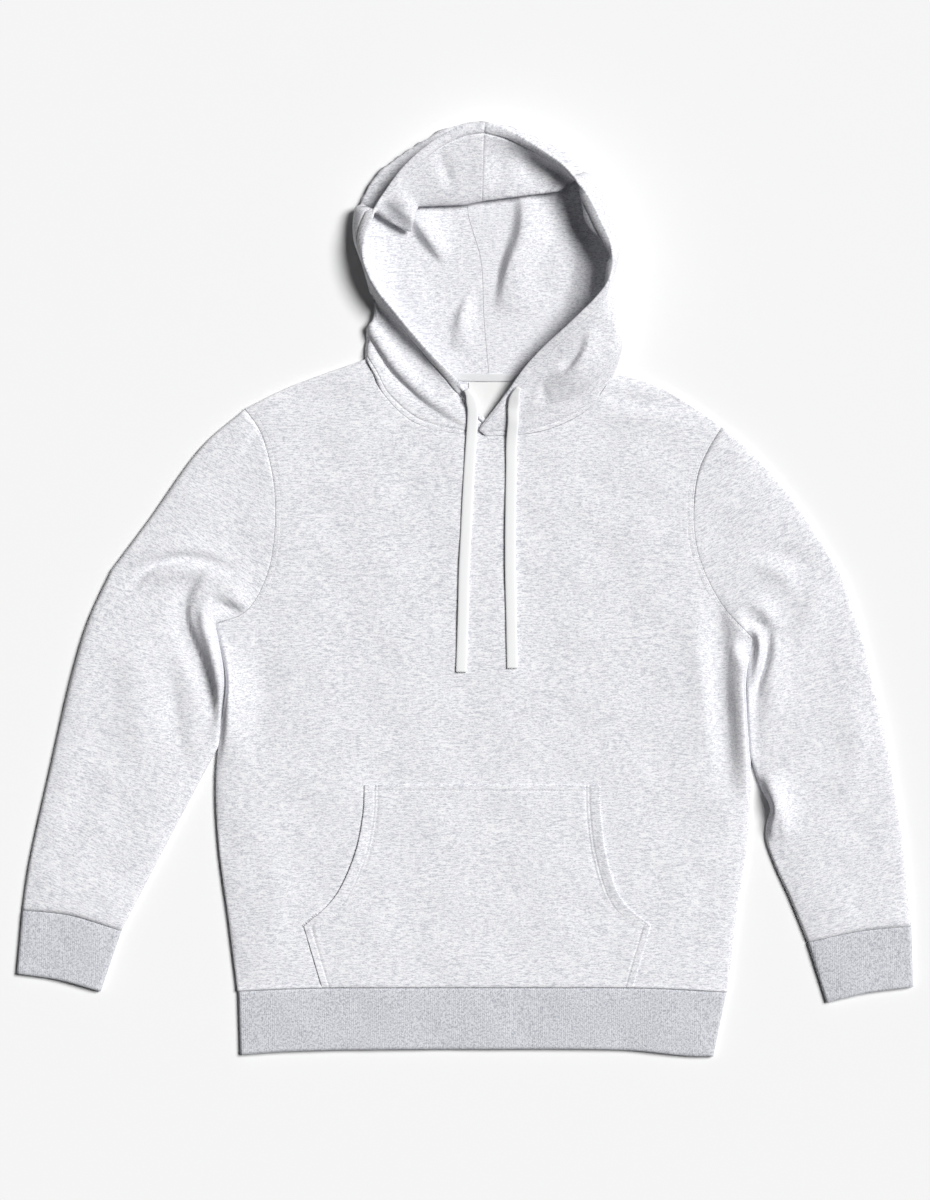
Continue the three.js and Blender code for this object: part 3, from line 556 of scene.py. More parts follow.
def neighbours(rows: int, columns: int) -> np.ndarray:
    """For each border point, the number of the point next to it inside the grid."""
    n = np.arange(rows * columns).reshape(rows, columns)
    return np.concatenate([n[1, :-1], n[:-1, -2], n[-2, :0:-1], n[:0:-1, 1]])


INSETS = (0.0, 0.5, 1.3, 2.6, 3.9, 4.6, 5.2, 5.8, 6.6, 8.4)  # places of the columns beside a seam


def shares(width: np.ndarray, steps: int, first: bool = True, last: bool = True,
           insets: tuple[float, ...] = INSETS) -> np.ndarray:
    """Shares of the way across, closer together beside the two edges.

    Args:
        width: the width in millimetres of each row.
        steps: the even steps across.
        first: whether the first edge has columns beside it.
        last: whether the last edge has.
        insets: the distances of those columns from the edge.

    Returns:
        One row of shares for each width.
    """
    insets = np.array(insets)
    even = np.arange(1, steps) / steps
    rows = []
    for w in np.atleast_1d(width):
        near = insets / w
        start = near if first else near[:1]
        end = 1 - near[::-1] if last else np.array([1.0])
        between = mix(start[-1], end[0], even)
        rows.append(np.concatenate([start, between, end]))
    return np.array(rows)


def groove(distance: np.ndarray, place: float, depth: float, width: float = 0.8) -> np.ndarray:
    """The dent that a row of stitches pulls into cloth, along a line at a distance from a seam."""
    return -depth * np.exp(-(((np.abs(distance) - place) / width) ** 2))


def seam_dip(distance: np.ndarray, depth: float = 0.6, width: float = 1.2) -> np.ndarray:
    """How far cloth goes down into its seam."""
    return -depth * np.exp(-((distance / width) ** 2))


TWIN = (1.6, 6.0)  # distances of a twin needle's rows from the seam
THREAD_SINK = 0.1  # height of a stitch's middle over the bottom of its groove
BACK_GROOVE = 0.6  # depth of the same rows' dents in the side that the garment lies on


@dataclass
class Pocket:
    """The kangaroo pocket, on the front panel."""

    columns: int = 66
    rows: int = 48
    lift: float = FLEECE + SEAM_GAP
    bulge: float = 0.9
    dip: float = 1.5  # how far the front lies lower under it
    top_row: float = 5.3
    side_row: float = 6.8
    opening_rows: tuple[float, float] = (10.6, 13.8)
    groove: float = 0.65
    gape: float = 1.2  # how far the openings' edges stand up
    gape_width: float = 6
    sink: tuple[float, float] = (0.4, 4)  # distances inside the edge between which the front sinks
    hem_dip: tuple[float, float] = (1.2, 1.5)  # depth and width
    height: float = 213
    bar: float = 1.1  # half the length of the stitches in the bars that close an opening's ends
    bar_stitches: int = 8
    bar_points: int = 5  # points of the opening that a bar takes in
    thread_rise: float = 0.05

    SIDE_STEPS, OPENING_STEPS, ACROSS_STEPS = 2, 6, 10  # of the solids
    INSETS = (0.0, 0.5, 1.3, 2.6, 3.9, 4.7, 5.3, 5.9, 6.5, 7.0, 7.7, 9.2, 10.1, 10.6, 11.1, 12.2, 13.3, 13.8,
              14.3, 16.0)

    def edge(self, hand: Hand) -> np.ndarray:
        """A side of the pocket, from the hem up."""
        side, opening = (OUTLINE[f"pocket_{hand.word}"][part] for part in POCKET_PARTS)
        return chain(along(side, self.SIDE_STEPS * FINE), along(opening, self.OPENING_STEPS * FINE))

    def lines(self) -> dict[str, np.ndarray]:
        """The pocket's edges.

        Returns:
            The two lower sides, the two openings and the top, by name.
        """
        made = {}
        corner = self.SIDE_STEPS * FINE
        for hand in Hand:
            edge = self.edge(hand)
            made[f"side_{hand.word}"] = edge[:corner + 1]
            made[f"opening_{hand.word}"] = edge[corner:]
        ends = np.vstack([self.edge(hand)[-1] for hand in Hand])
        made["top"] = resampled(ends, self.ACROSS_STEPS * FINE)
        return made

    def inside(self, x: np.ndarray, y: np.ndarray) -> np.ndarray:
        """How far places of the plan are under the pocket.

        Args:
            x: places across.
            y: places up.

        Returns:
            1 under the pocket, 0 beyond its edge and smooth between.
        """
        left, right = (nearest(x, y, self.edge(hand))[0] * -hand.value for hand in Hand)
        top = -nearest(x, y, self.lines()["top"])[0]
        return smoothstep(left, *self.sink) * smoothstep(right, *self.sink) * smoothstep(top, *self.sink)

    def rows_of(self) -> list[tuple[str, float]]:
        """The rows of stitches.

        Returns:
            For each row, the name of the line that it follows and its distance from it.
        """
        made = [("top", self.top_row)]
        for hand in Hand:
            made.append((f"side_{hand.word}", self.side_row))
            made += [(f"opening_{hand.word}", row) for row in self.opening_rows]
        return made

    def top(self, x: np.ndarray, y: np.ndarray) -> np.ndarray:
        """Height of the pocket's upper face.

        Args:
            x: places across.
            y: places up.

        Returns:
            The height at each place.
        """
        height = top_height(x, y) + self.lift - self.dip
        lines = self.lines()
        for name, distance in self.rows_of():
            height += groove(nearest(x, y, lines[name])[0], distance, self.groove)
        for hand in Hand:
            off, share = nearest(x, y, lines[f"opening_{hand.word}"])
            height += self.gape * np.sin(np.pi * share) * np.exp(-((off / self.gape_width) ** 2))
        return height + seam_dip(nearest(x, y, HEM_SEAM)[0], *self.hem_dip)

    def build(self, material: bpy.types.Material) -> bpy.types.Object:
        """Makes the pocket.

        Args:
            material: its finish.

        Returns:
            The object.
        """
        left, right = self.edge(Hand.LEFT), self.edge(Hand.RIGHT)
        bottom = resampled(np.vstack([left[0], right[0]]), self.ACROSS_STEPS * FINE)
        top = self.lines()["top"]
        v1 = shares(np.array([self.height]), self.rows)[0]
        widths = np.linalg.norm(at_share(left, v1) - at_share(right, v1), axis=1)
        u = shares(widths, self.columns, insets=self.INSETS)
        plan = patch(left, right, bottom, top, u, np.broadcast_to(v1[:, None], u.shape))
        x, y = plan[..., 0], plan[..., 1]
        height = self.top(x, y)
        upper = np.dstack([x, y, height])
        lower = np.dstack([x, y, height - FLEECE])
        return shell("pocket", upper, lower, upper, self.bulge, material)

    def stitches(self) -> list[np.ndarray]:
        """The pocket's sewing.

        Returns:
            The rows along its edges, and the bars at the ends of its openings.
        """
        lines = self.lines()
        made = []
        for name, distance in self.rows_of():
            made.append(shifted(lines[name][1:-1], distance if name.endswith("right") else -distance))
        for hand in Hand:
            opening = lines[f"opening_{hand.word}"]
            for end in (opening[:self.bar_points], opening[::-1][:self.bar_points]):
                bar = resampled(end, self.bar_stitches)
                side = left_of(bar) * self.bar
                made += [np.vstack([a, b]) for a, b in zip(bar + side, bar - side)]
        return [np.column_stack([plan, self.top(plan[:, 0], plan[:, 1]) + self.thread_rise]) for plan in made]


POCKET = Pocket()


@dataclass
class Body:
    """The front and the back of the body."""

    columns: int = 118
    rows: int = 150
    height: float = 650
    groove: float = 0.28
    armhole_dip: float = 0.35
    neck_dip: float = 0.5
    hem_dip: tuple[float, float] = (1.0, 0.8)  # depth and width
    hem_puff: tuple[float, float, float] = (1.5, 1.9, 1.0)  # height, distance from the hem's seam and width
    side_bulge: float = 1.0
    seam_bulge: float = 0.12

    def grid(self, neck: np.ndarray) -> tuple[np.ndarray, np.ndarray]:
        """The plan of a panel, with closer columns beside its seams.

        Args:
            neck: the line of its neck.

        Returns:
            The points, and their shares of the way up.
        """
        left = chain(SIDE[Hand.LEFT], ARMHOLE[Hand.LEFT])
        right = chain(SIDE[Hand.RIGHT], ARMHOLE[Hand.RIGHT])
        top = chain(SHOULDER[Hand.LEFT], neck, SHOULDER[Hand.RIGHT])
        rough_v = shares(np.array([self.height]), self.rows)[0]
        widths = np.linalg.norm(at_share(left, rough_v) - at_share(right, rough_v), axis=1)
        u = shares(widths, self.columns)
        heights = np.linalg.norm(at_share(HEM_SEAM, u[0]) - at_share(top, u[0]), axis=1)
        v = shares(heights, self.rows).T
        return patch(left, right, HEM_SEAM, top, u, v), v

    def bulges(self, v: np.ndarray) -> np.ndarray:
        """How far the cloth's edge stands out: further at the body's sides than at sewn edges.

        Args:
            v: the grid's shares of the way up.

        Returns:
            The distance at each border point.
        """
        share = STEPS["side"] / (STEPS["side"] + STEPS["armhole"])
        edge = np.full(v.shape, self.seam_bulge)
        edge[:, 0] = edge[:, -1] = np.where(v[:, 0] < share, self.side_bulge, self.seam_bulge)
        return edge.reshape(-1)[border(*v.shape)]

    def top(self, x: np.ndarray, y: np.ndarray) -> np.ndarray:
        """Height of the front, with the dips of its seams and stitches.

        Args:
            x: places across.
            y: places up.

        Returns:
            The height at each place.
        """
        height = top_height(x, y)
        for hand in Hand:
            off = nearest(x, y, ARMHOLE[hand])[0]
            height += seam_dip(off, self.armhole_dip) + sum(groove(off, place, self.groove) for place in TWIN)
        off = nearest(x, y, HEM_SEAM)[0]
        puff, place, width = self.hem_puff
        height += seam_dip(off, *self.hem_dip) + puff * np.exp(-(((np.abs(off) - place) / width) ** 2))
        height += seam_dip(nearest(x, y, NECK_FRONT)[0], self.neck_dip)
        return height - POCKET.dip * POCKET.inside(x, y)

    def front(self, material: bpy.types.Material) -> bpy.types.Object:
        """Makes the front panel, which lies on the back.

        Args:
            material: its finish.

        Returns:
            The object.
        """
        plan, v = self.grid(NECK_FRONT)
        x, y = plan[..., 0], plan[..., 1]
        top = self.top(x, y)
        upper = np.dstack([x, y, top])
        lower = np.dstack([x, y, np.maximum(top - FLEECE, FLEECE + SEAM_GAP)])
        return shell("front_panel", upper, lower, upper, self.bulges(v), material)

    def back(self, material: bpy.types.Material) -> bpy.types.Object:
        """Makes the back panel, which lies on the surface, with soft troughs in its underside.

        Args:
            material: its finish.

        Returns:
            The object.
        """
        plan, v = self.grid(NECK_BACK)
        x, y = plan[..., 0], plan[..., 1]
        rise = under_height(x, y)
        for line in (*ARMHOLE.values(), HEM_SEAM):
            off = nearest(x, y, line)[0]
            rise = rise - sum(groove(off, place, BACK_GROOVE) for place in TWIN)
        upper = np.dstack([x, y, FLEECE + rise])
        lower = np.dstack([x, y, rise])
        return shell("back_panel", upper, lower, upper, self.bulges(v), material)

    def stitches(self) -> list[np.ndarray]:
        """The body's sewing.

        Returns:
            The twin rows beside the armholes, on the front and on the side that the garment lies on.
        """
        made = []
        for hand in Hand:
            for distance in TWIN:
                plan = shifted(ARMHOLE[hand], -hand.value * distance, 2)[:-4]
                x, y = plan[:, 0], plan[:, 1]
                made.append(np.column_stack([plan, self.top(x, y) + THREAD_SINK]))
                made.append(np.column_stack([plan, under_height(x, y) + BACK_GROOVE - THREAD_SINK]))
        return made


# Creases of the side that the garment lies on. They are troughs in the underside.
UNDER_CREASES = [
    Crease(((-120, -330), (-60, -250), (-75, -120)), (16, 16), 1.0),
    Crease(((90, -380), (120, -290), (95, -200)), (13, 13), 0.8),
    Crease(((-200, -60), (-120, -20), (-60, -40)), (18, 18), 0.9),
    Crease(((40, 10), (110, 60), (180, 50)), (15, 15), 1.1),
    Crease(((-150, 120), (-90, 150), (-10, 140)), (14, 14), 0.8),
    Crease(((180, -160), (215, -100), (220, -20)), (12, 12), 0.9),
    Crease(((-215, -300), (-185, -240), (-190, -170)), (12, 12), 0.7),
]


def under_height(x: np.ndarray, y: np.ndarray) -> np.ndarray:
    """How far the underside stands off the surface it lies on, in its creases."""
    return sum(crease_height(crease, x, y) for crease in UNDER_CREASES)


@dataclass
class Tube:
    """A tube of cloth pressed flat, with a top and a bottom layer in one wall."""

    thick: float
    level: Level
    across: int
    round_width: float = 2.8  # how far in from its side the tube is rounded
    inner_inset: float = 1.1  # how far in the inner face's sides lie, as a share of the wall
    tightening: float = 6.0  # the wall at which the inner face's sides would have no rounding

    ROUND = (0.0, 0.04, 0.15, 0.35, 0.65, 1.0, 1.8)  # places of a side's points, as shares of its width

    def build(self, name: str, edges: tuple[np.ndarray, ...], v: np.ndarray,
              sewn: tuple[np.ndarray, np.ndarray], relief: "Relief", axis: np.ndarray,
              material: bpy.types.Material) -> bpy.types.Object:
        """Makes the tube.

        Args:
            name: the piece's name.
            edges: the plan's left, right, bottom and top edges.
            v: the share of the way up of each row.
            sewn: for each row, how far its left and its right side are sewn, from 0 for a free side to 1.
            relief: gives the seams' share of the height.
            axis: the line up the middle that the grain of the cloth follows.
            material: its finish.

        Returns:
            The object.
        """
        left, right, bottom, top = edges
        widths = np.linalg.norm(at_share(left, v) - at_share(right, v), axis=1)
        outer = self.ring(edges, v, widths, sewn, relief, 0.0)
        inner = self.ring(edges, v, widths, sewn, relief, self.thick)
        rows, columns = outer.shape[:2]
        points = np.vstack([outer.reshape(-1, 3), inner.reshape(-1, 3)])
        size = rows * columns
        quads = [grid_quads(rows, columns, 0, True), grid_quads(rows, columns, size, True)[:, ::-1]]
        for row, flip in ((0, True), (rows - 1, False)):
            first = row * columns + np.arange(columns)
            second = first + size
            strip = np.stack([first, np.roll(first, -1), np.roll(second, -1), second], axis=1)
            quads.append(strip[:, ::-1] if flip else strip)
        off, share = nearest(outer[..., 0], outer[..., 1], axis)
        cloth = np.dstack([-off, share * lengths(axis)[-1], outer[..., 2]])
        return mesh_piece(name, points, np.vstack(quads), np.vstack([cloth.reshape(-1, 3)] * 2), material)

    def ring(self, edges: tuple[np.ndarray, ...], v: np.ndarray, widths: np.ndarray,
             sewn: tuple[np.ndarray, np.ndarray], relief: "Relief", depth: float) -> np.ndarray:
        """The rows of points round the tube.

        Args:
            edges: the plan's left, right, bottom and top edges.
            v: the share of the way up of each row.
            widths: the tube's width at each row.
            sewn: for each row, how far its left and its right side are sewn.
            relief: gives the seams' share of the height.
            depth: how deep in the wall the points lie, 0 for its outer face.

        Returns:
            The points, once round in each row.
        """
        round_width = self.round_width * (1 - depth / self.tightening)
        near = np.array(self.ROUND) * round_width
        even = np.arange(1, self.across) / self.across
        inset = depth * self.inner_inset
        rows_u = []
        for width in widths:
            start = (inset + near) / width
            rows_u.append(np.concatenate([start, mix(start[-1], 1 - start[-1], even), 1 - start[::-1]]))
        u = np.array(rows_u)
        grid = patch(*edges, u, np.broadcast_to(v[:, None], u.shape))
        x, y = grid[..., 0], grid[..., 1]
        high = top_height(x, y, self.level) + relief(x, y)
        low = under_height(x, y)
        if depth:
            high, low = np.maximum(high - depth, depth + SEAM_GAP), low + depth
            low = np.minimum(low, high - SEAM_GAP)
        middle = (high + low) / 2 if depth else FLAT_ROUND
        from_side = np.minimum(u, 1 - u) * widths[:, None] - inset
        turn = np.sqrt(np.clip(1 - (1 - np.clip(from_side / round_width, 0, 1)) ** 2, 0, 1))
        turn = mix(turn, 1.0, np.where(u < 0.5, sewn[0][:, None], sewn[1][:, None]))
        upper = np.dstack([x, y, mix(middle, high, turn)])
        lower = np.dstack([x, y, mix(middle, low, turn)])
        return np.hstack([upper, lower[:, ::-1][:, 1:-1]])


class Relief:
    """The seams' share of the height of a piece."""

    def __init__(self, *seams: tuple[np.ndarray, float]) -> None:
        """Keeps each seam's line and how far the cloth dips into it."""
        self.seams = seams

    def __call__(self, x: np.ndarray, y: np.ndarray) -> np.ndarray:
        """The share of the height at places of the plan."""
        return sum(seam_dip(nearest(x, y, line)[0], dip) for line, dip in self.seams)


# The line up the middle of each sleeve, from beyond its cuff to beyond its shoulder.
GRAIN = {
    Hand.LEFT: pts((-432, -440), (-416, -350), (-357, -190), (-330, -35), (-268, 72), (-235, 140),
                   (-190, 230)),
    Hand.RIGHT: pts((430, -450), (419, -360), (392, -255), (366, -95), (335, 5), (293, 92), (262, 160),
                    (220, 240)),
}


@dataclass
class Sleeve:
    """A sleeve, from its cuff to the armhole."""

    hand: Hand
    across: int = 34
    beside: float = 0.7  # how upright the sleeve's side is where it lies against the body
    corner: float = 0.62  # the share of the armhole, from the underarm, that the sleeve's inner edge takes in
    armhole_dip: float = 0.35
    cuff_dip: float = 0.9
    grain_steps: int = 80

    def edges(self) -> tuple[np.ndarray, np.ndarray, np.ndarray, np.ndarray, np.ndarray]:
        """The sleeve's edges in the plan.

        Returns:
            The outer and the inner edge, the cuff's seam, the sleeve's end, and how far each row is sewn.
        """
        outline = OUTLINE[f"sleeve_outer_{self.hand.word}"]
        body_edge = shifted(chain(SIDE[self.hand], ARMHOLE[self.hand]), self.hand.value * SEAM_GAP)
        underarm = len(SIDE[self.hand]) - 1
        beside = body_edge[underarm - SLEEVE_ROWS["beside"] * FINE:underarm + 1]
        armhole = body_edge[underarm:]
        turn = int(self.corner * (len(armhole) - 1))
        tip = armhole[-1]
        free, cap = SLEEVE_ROWS["free"] * FINE, SLEEVE_ROWS["cap"] * FINE
        outer = chain(
            along(outline[:SLEEVE_ELBOW + 1], free + SLEEVE_ROWS["beside"] * FINE),
            along(np.vstack([outline[SLEEVE_ELBOW:-1], tip]), cap),
        )
        inner = chain(
            along(np.vstack([OUTLINE[f"sleeve_inner_{self.hand.word}"], beside[:1]]), free),
            beside,
            resampled(armhole[:turn + 1], cap),
        )
        cuff = along(OUTLINE[f"cuff_seam_{self.hand.word}"], SLEEVE_ROWS["across"] * FINE)
        end = resampled(armhole[turn:][::-1], SLEEVE_ROWS["across"] * FINE)
        rows = np.arange(len(outer))
        sewn = smoothstep(rows, len(outer) - 1 - cap - FINE, len(outer) - 1 - cap + FINE)
        sewn = np.maximum(sewn, self.beside * smoothstep(rows, free - FINE, free + FINE))
        return outer, inner, cuff, end, sewn

    def build(self, material: bpy.types.Material) -> bpy.types.Object:
        """Makes the sleeve.

        Args:
            material: its finish.

        Returns:
            The object.
        """
        outer, inner, cuff, end, sewn = self.edges()
        free = np.zeros_like(sewn)
        if self.hand is Hand.LEFT:
            edges, held = (outer, inner, cuff, end), (free, sewn)
        else:
            edges, held = (inner, outer, cuff[::-1], end[::-1]), (sewn, free)
        relief = Relief((ARMHOLE[self.hand], self.armhole_dip), (cuff, self.cuff_dip))
        v = np.linspace(0, 1, len(outer))
        grain = along(GRAIN[self.hand], self.grain_steps)
        return Tube(FLEECE, BODY_LEVEL, self.across).build(
            f"sleeve_{self.hand.word}", edges, v, held, relief, grain, material)


@dataclass
class RibBand:
    """A band of rib between a seam and its own free end, both from left to right."""

    name: str
    seam_line: np.ndarray
    end_line: np.ndarray
    across: int
    rows: int = 18
    height: float = 67
    dip: float = 1.0  # how far the rib goes down into its seam
    grain: float = 500  # half the length of the line that the wales run along

    def build(self, material: bpy.types.Material) -> bpy.types.Object:
        """Makes the band.

        Args:
            material: its finish.

        Returns:
            The object.
        """
        top = self.seam_line - [0, SEAM_GAP]
        bottom = along(self.end_line, len(top) - 1)
        left = resampled(np.vstack([bottom[0], top[0]]), self.rows)
        right = resampled(np.vstack([bottom[-1], top[-1]]), self.rows)
        v = shares(np.array([self.height]), self.rows, first=False)[0]
        free = np.zeros(len(v))
        axis = top[len(top) // 2] + pts((0, -self.grain), (0, self.grain))
        return Tube(RIB, RIB_LEVEL, self.across).build(
            self.name, (left, right, bottom, top), v, (free, free), Relief((top, self.dip)), axis, material)


# The ribbed ends, each from its seam to its edge.
RIB_BANDS = [
    RibBand("waistband", HEM_SEAM, OUTLINE["hem_end"], 130),
    RibBand("cuff_left", along(OUTLINE["cuff_seam_left"], 60), OUTLINE["cuff_end_left"], 30),
    RibBand("cuff_right", along(OUTLINE["cuff_seam_right"][::-1], 60), OUTLINE["cuff_end_right"][::-1], 30),
]

HOOD_COLUMNS = "x y z lobe crest belly".split()
# The face opening's edge, from the front of the neck up to the middle of the forehead. Columns: the edge's
# place and height; lobe, how far the side bulges outwards; crest, the height of a fold on the way to the
# neck seam; belly, how far that way swells outwards.
HOOD_RIM = {
    Hand.LEFT: pts(
        (33, 171, 4.4, 0, 0, 0), (20, 182, 6, 0, 0, 0), (6, 204, 9, 0, 1, 0), (-14, 229, 15, 0, 2, 1),
        (-36, 252, 21, 0, 3.5, 2), (-57, 276, 27, 2, 4.5, 3), (-75, 298, 31, 4, 4.5, 4),
        (-89, 315, 33, 9, 2.5, 4), (-99, 332, 33, 11, 0, 2), (-106, 353, 33, 7, 0, 0),
        (-105, 374, 33, 11, 0, 0), (-97, 395, 33, 19, 0, 0), (-87, 414, 33, 19, 0, 0),
        (-75, 432, 34, 18, 0, 0), (-60, 450, 35, 13, 0, 0), (-42, 466, 36, 9, 0, 0),
        (-22, 480, 35, 7, 0, 0), (0, 489, 35, 5, 0, 0), (21, 492, 35, 4, 0, 0),
    ),
    Hand.RIGHT: pts(
        (15, 171, 8.2, 0, 0, 0), (30, 190, 12, 0, 0, 0), (45, 210, 17, 0, 0.5, 0), (62, 234, 23, 0, 1, 2),
        (82, 256, 30, 0, 1.5, 5), (103, 275, 37, 2, 1.5, 10), (121, 292, 42, 5, 1, 16),
        (137, 308, 46, 9, 0.5, 15), (149, 325, 49, 11, 0, 18), (154, 345, 50, 9, 0, 6),
        (151, 367, 50, 10, 0, 0), (142, 387, 49, 13, 0, 0),
        (132, 408, 48, 15, 0, 0), (119, 428, 46, 15, 0, 0), (104, 446, 44, 14, 0, 0), (85, 460, 42, 12, 0, 0),
        (65, 473, 40, 9, 0, 0), (43, 485, 37, 6, 0, 0), (21, 492, 35, 4, 0, 0),
    ),
}
# Finer columns, as pairs of a row and a value: tuck_z, the height of the forehead flap's edge; sag, how
# steeply the cloth falls beside the rim before it runs out to the neck; hollow, how far the flap dips behind
# the rim instead of running straight to its edge; lip, how far the cloth behind the rim stands in over the
# opening.
HOOD_FINE = {
    Hand.LEFT: {
        "tuck_z": ((0, 11.5), (11, 11.5), (11.4, 13), (12.2, 22), (13.4, 15), (14, 14), (18, 12.5)),
        "sag": ((0, 0), (2, 0.1), (3, 0.6), (4, 1), (7, 1), (8, 0.6), (10, 0)),
        "hollow": ((0, 1), (11.8, 1), (12.6, 0), (18, 0)),
        "lip": ((0, 0), (18, 0)),
    },
    Hand.RIGHT: {
        "tuck_z": ((0, 34), (12.8, 34), (13.4, 22), (14, 16), (18, 12.5)),
        "sag": ((0, 0), (18, 0)),
        "hollow": ((0, 0), (12, 1), (15.5, 1), (17, 0.5), (18, 0)),
        "lip": ((0, 0), (6, 0), (7, 8), (8, 14), (9, 5), (9.4, 0.5), (10, 5), (11, 12), (11.6, 13), (12.3, 7),
                (13, 0)),
    },
}
# The flap's lower edge, from left to right.
FOLD_EDGE = pts((-100, 390), (-58, 379), (-50, 407), (-30, 408), (0, 409), (18, 413), (58, 418), (113, 424))
# Creases of the hood: ridges on the wearer's side are positive. Each lies on a part of the sections, given
# as shares.
FLOOR, COLLAR, FLAP = (0.82, 1.0), (0.0, 1.0), (0.03, 0.27)
HOOD_CREASES = [
    # The floor of the hood: the long fold, the fold under the flap's left end, the short ones at the neck.
    Crease(((62, 430), (60, 380), (46, 342), (38, 294)), (26, 7), 13.0, FLOOR),
    Crease(((-60, 404), (-44, 380), (-28, 358), (-16, 340)), (16, 5.5), 11.0, FLOOR),
    Crease(((5, 318), (-4, 292), (-8, 270), (-7, 252)), (14, 4.5), 6.5, FLOOR),
    Crease(((-26, 384), (-12, 340), (-4, 296)), (12, 26), -4.0, FLOOR),
    Crease(((26, 402), (34, 360), (26, 310)), (10, 14), -3.0, FLOOR),
    Crease(((-62, 350), (-50, 310), (-30, 284)), (20, 14), 2.2, FLOOR),
    Crease(((110, 400), (104, 360), (86, 320)), (18, 16), 3.0, FLOOR),
    # The flap: its left end hangs down, and the cloth dips beside the seam.
    Crease(((-28, 470), (-22, 445), (-14, 425)), (7, 5), -3.0, FLAP),
    Crease(((60, 462), (54, 440), (60, 424)), (12, 12), 1.6, FLAP),
    # The right side of the collar: the hooked fold beside the neck, and the cloth round the cords' holes.
    Crease(((92, 239), (108, 231), (120, 242), (126, 256), (132, 282)), (3.4, 15), -7.0, COLLAR),
    Crease(((82, 222), (84, 206), (88, 196)), (4, 4), 2.6, COLLAR),
    Crease(((47, 190), (46, 204), (52, 213), (62, 218)), (3, 3), 5.0, COLLAR),
    Crease(((-3, 194), (-4, 206), (-1, 216), (4, 219)), (3, 3), 4.5, COLLAR),
]

# Control points of a section that runs down to the neck: the share of the way, and the share of the crest
# and of the rim's height over the floor that goes into the height there.
SLACK = (
    (0.12, 0, -0.1), (0.27, 0, -0.14), (0.42, 1, -0.06), (0.56, 1, 0), (0.68, -0.6, 0), (0.84, -0.3, 0),
)
STEEP = (
    (0.07, 0, -0.48), (0.16, 0, -0.68), (0.32, 0, -0.6), (0.52, 1, -0.4), (0.62, -0.5, -0.34),
    (0.8, 0, -0.17),
)
# The hood's seam from the neck to the forehead, on the floor.
HOOD_SEAM = pts((20, 290), (17, 350), (3, 402), (4, 440), (10, 472))
# How far the first rows are lifted, because one front end lies on the other.
FRONT_LIFT = {Hand.LEFT: (-2.8, -1.2, -0.2, 0.0), Hand.RIGHT: (0.5, 0.2, 0.0, 0.0)}


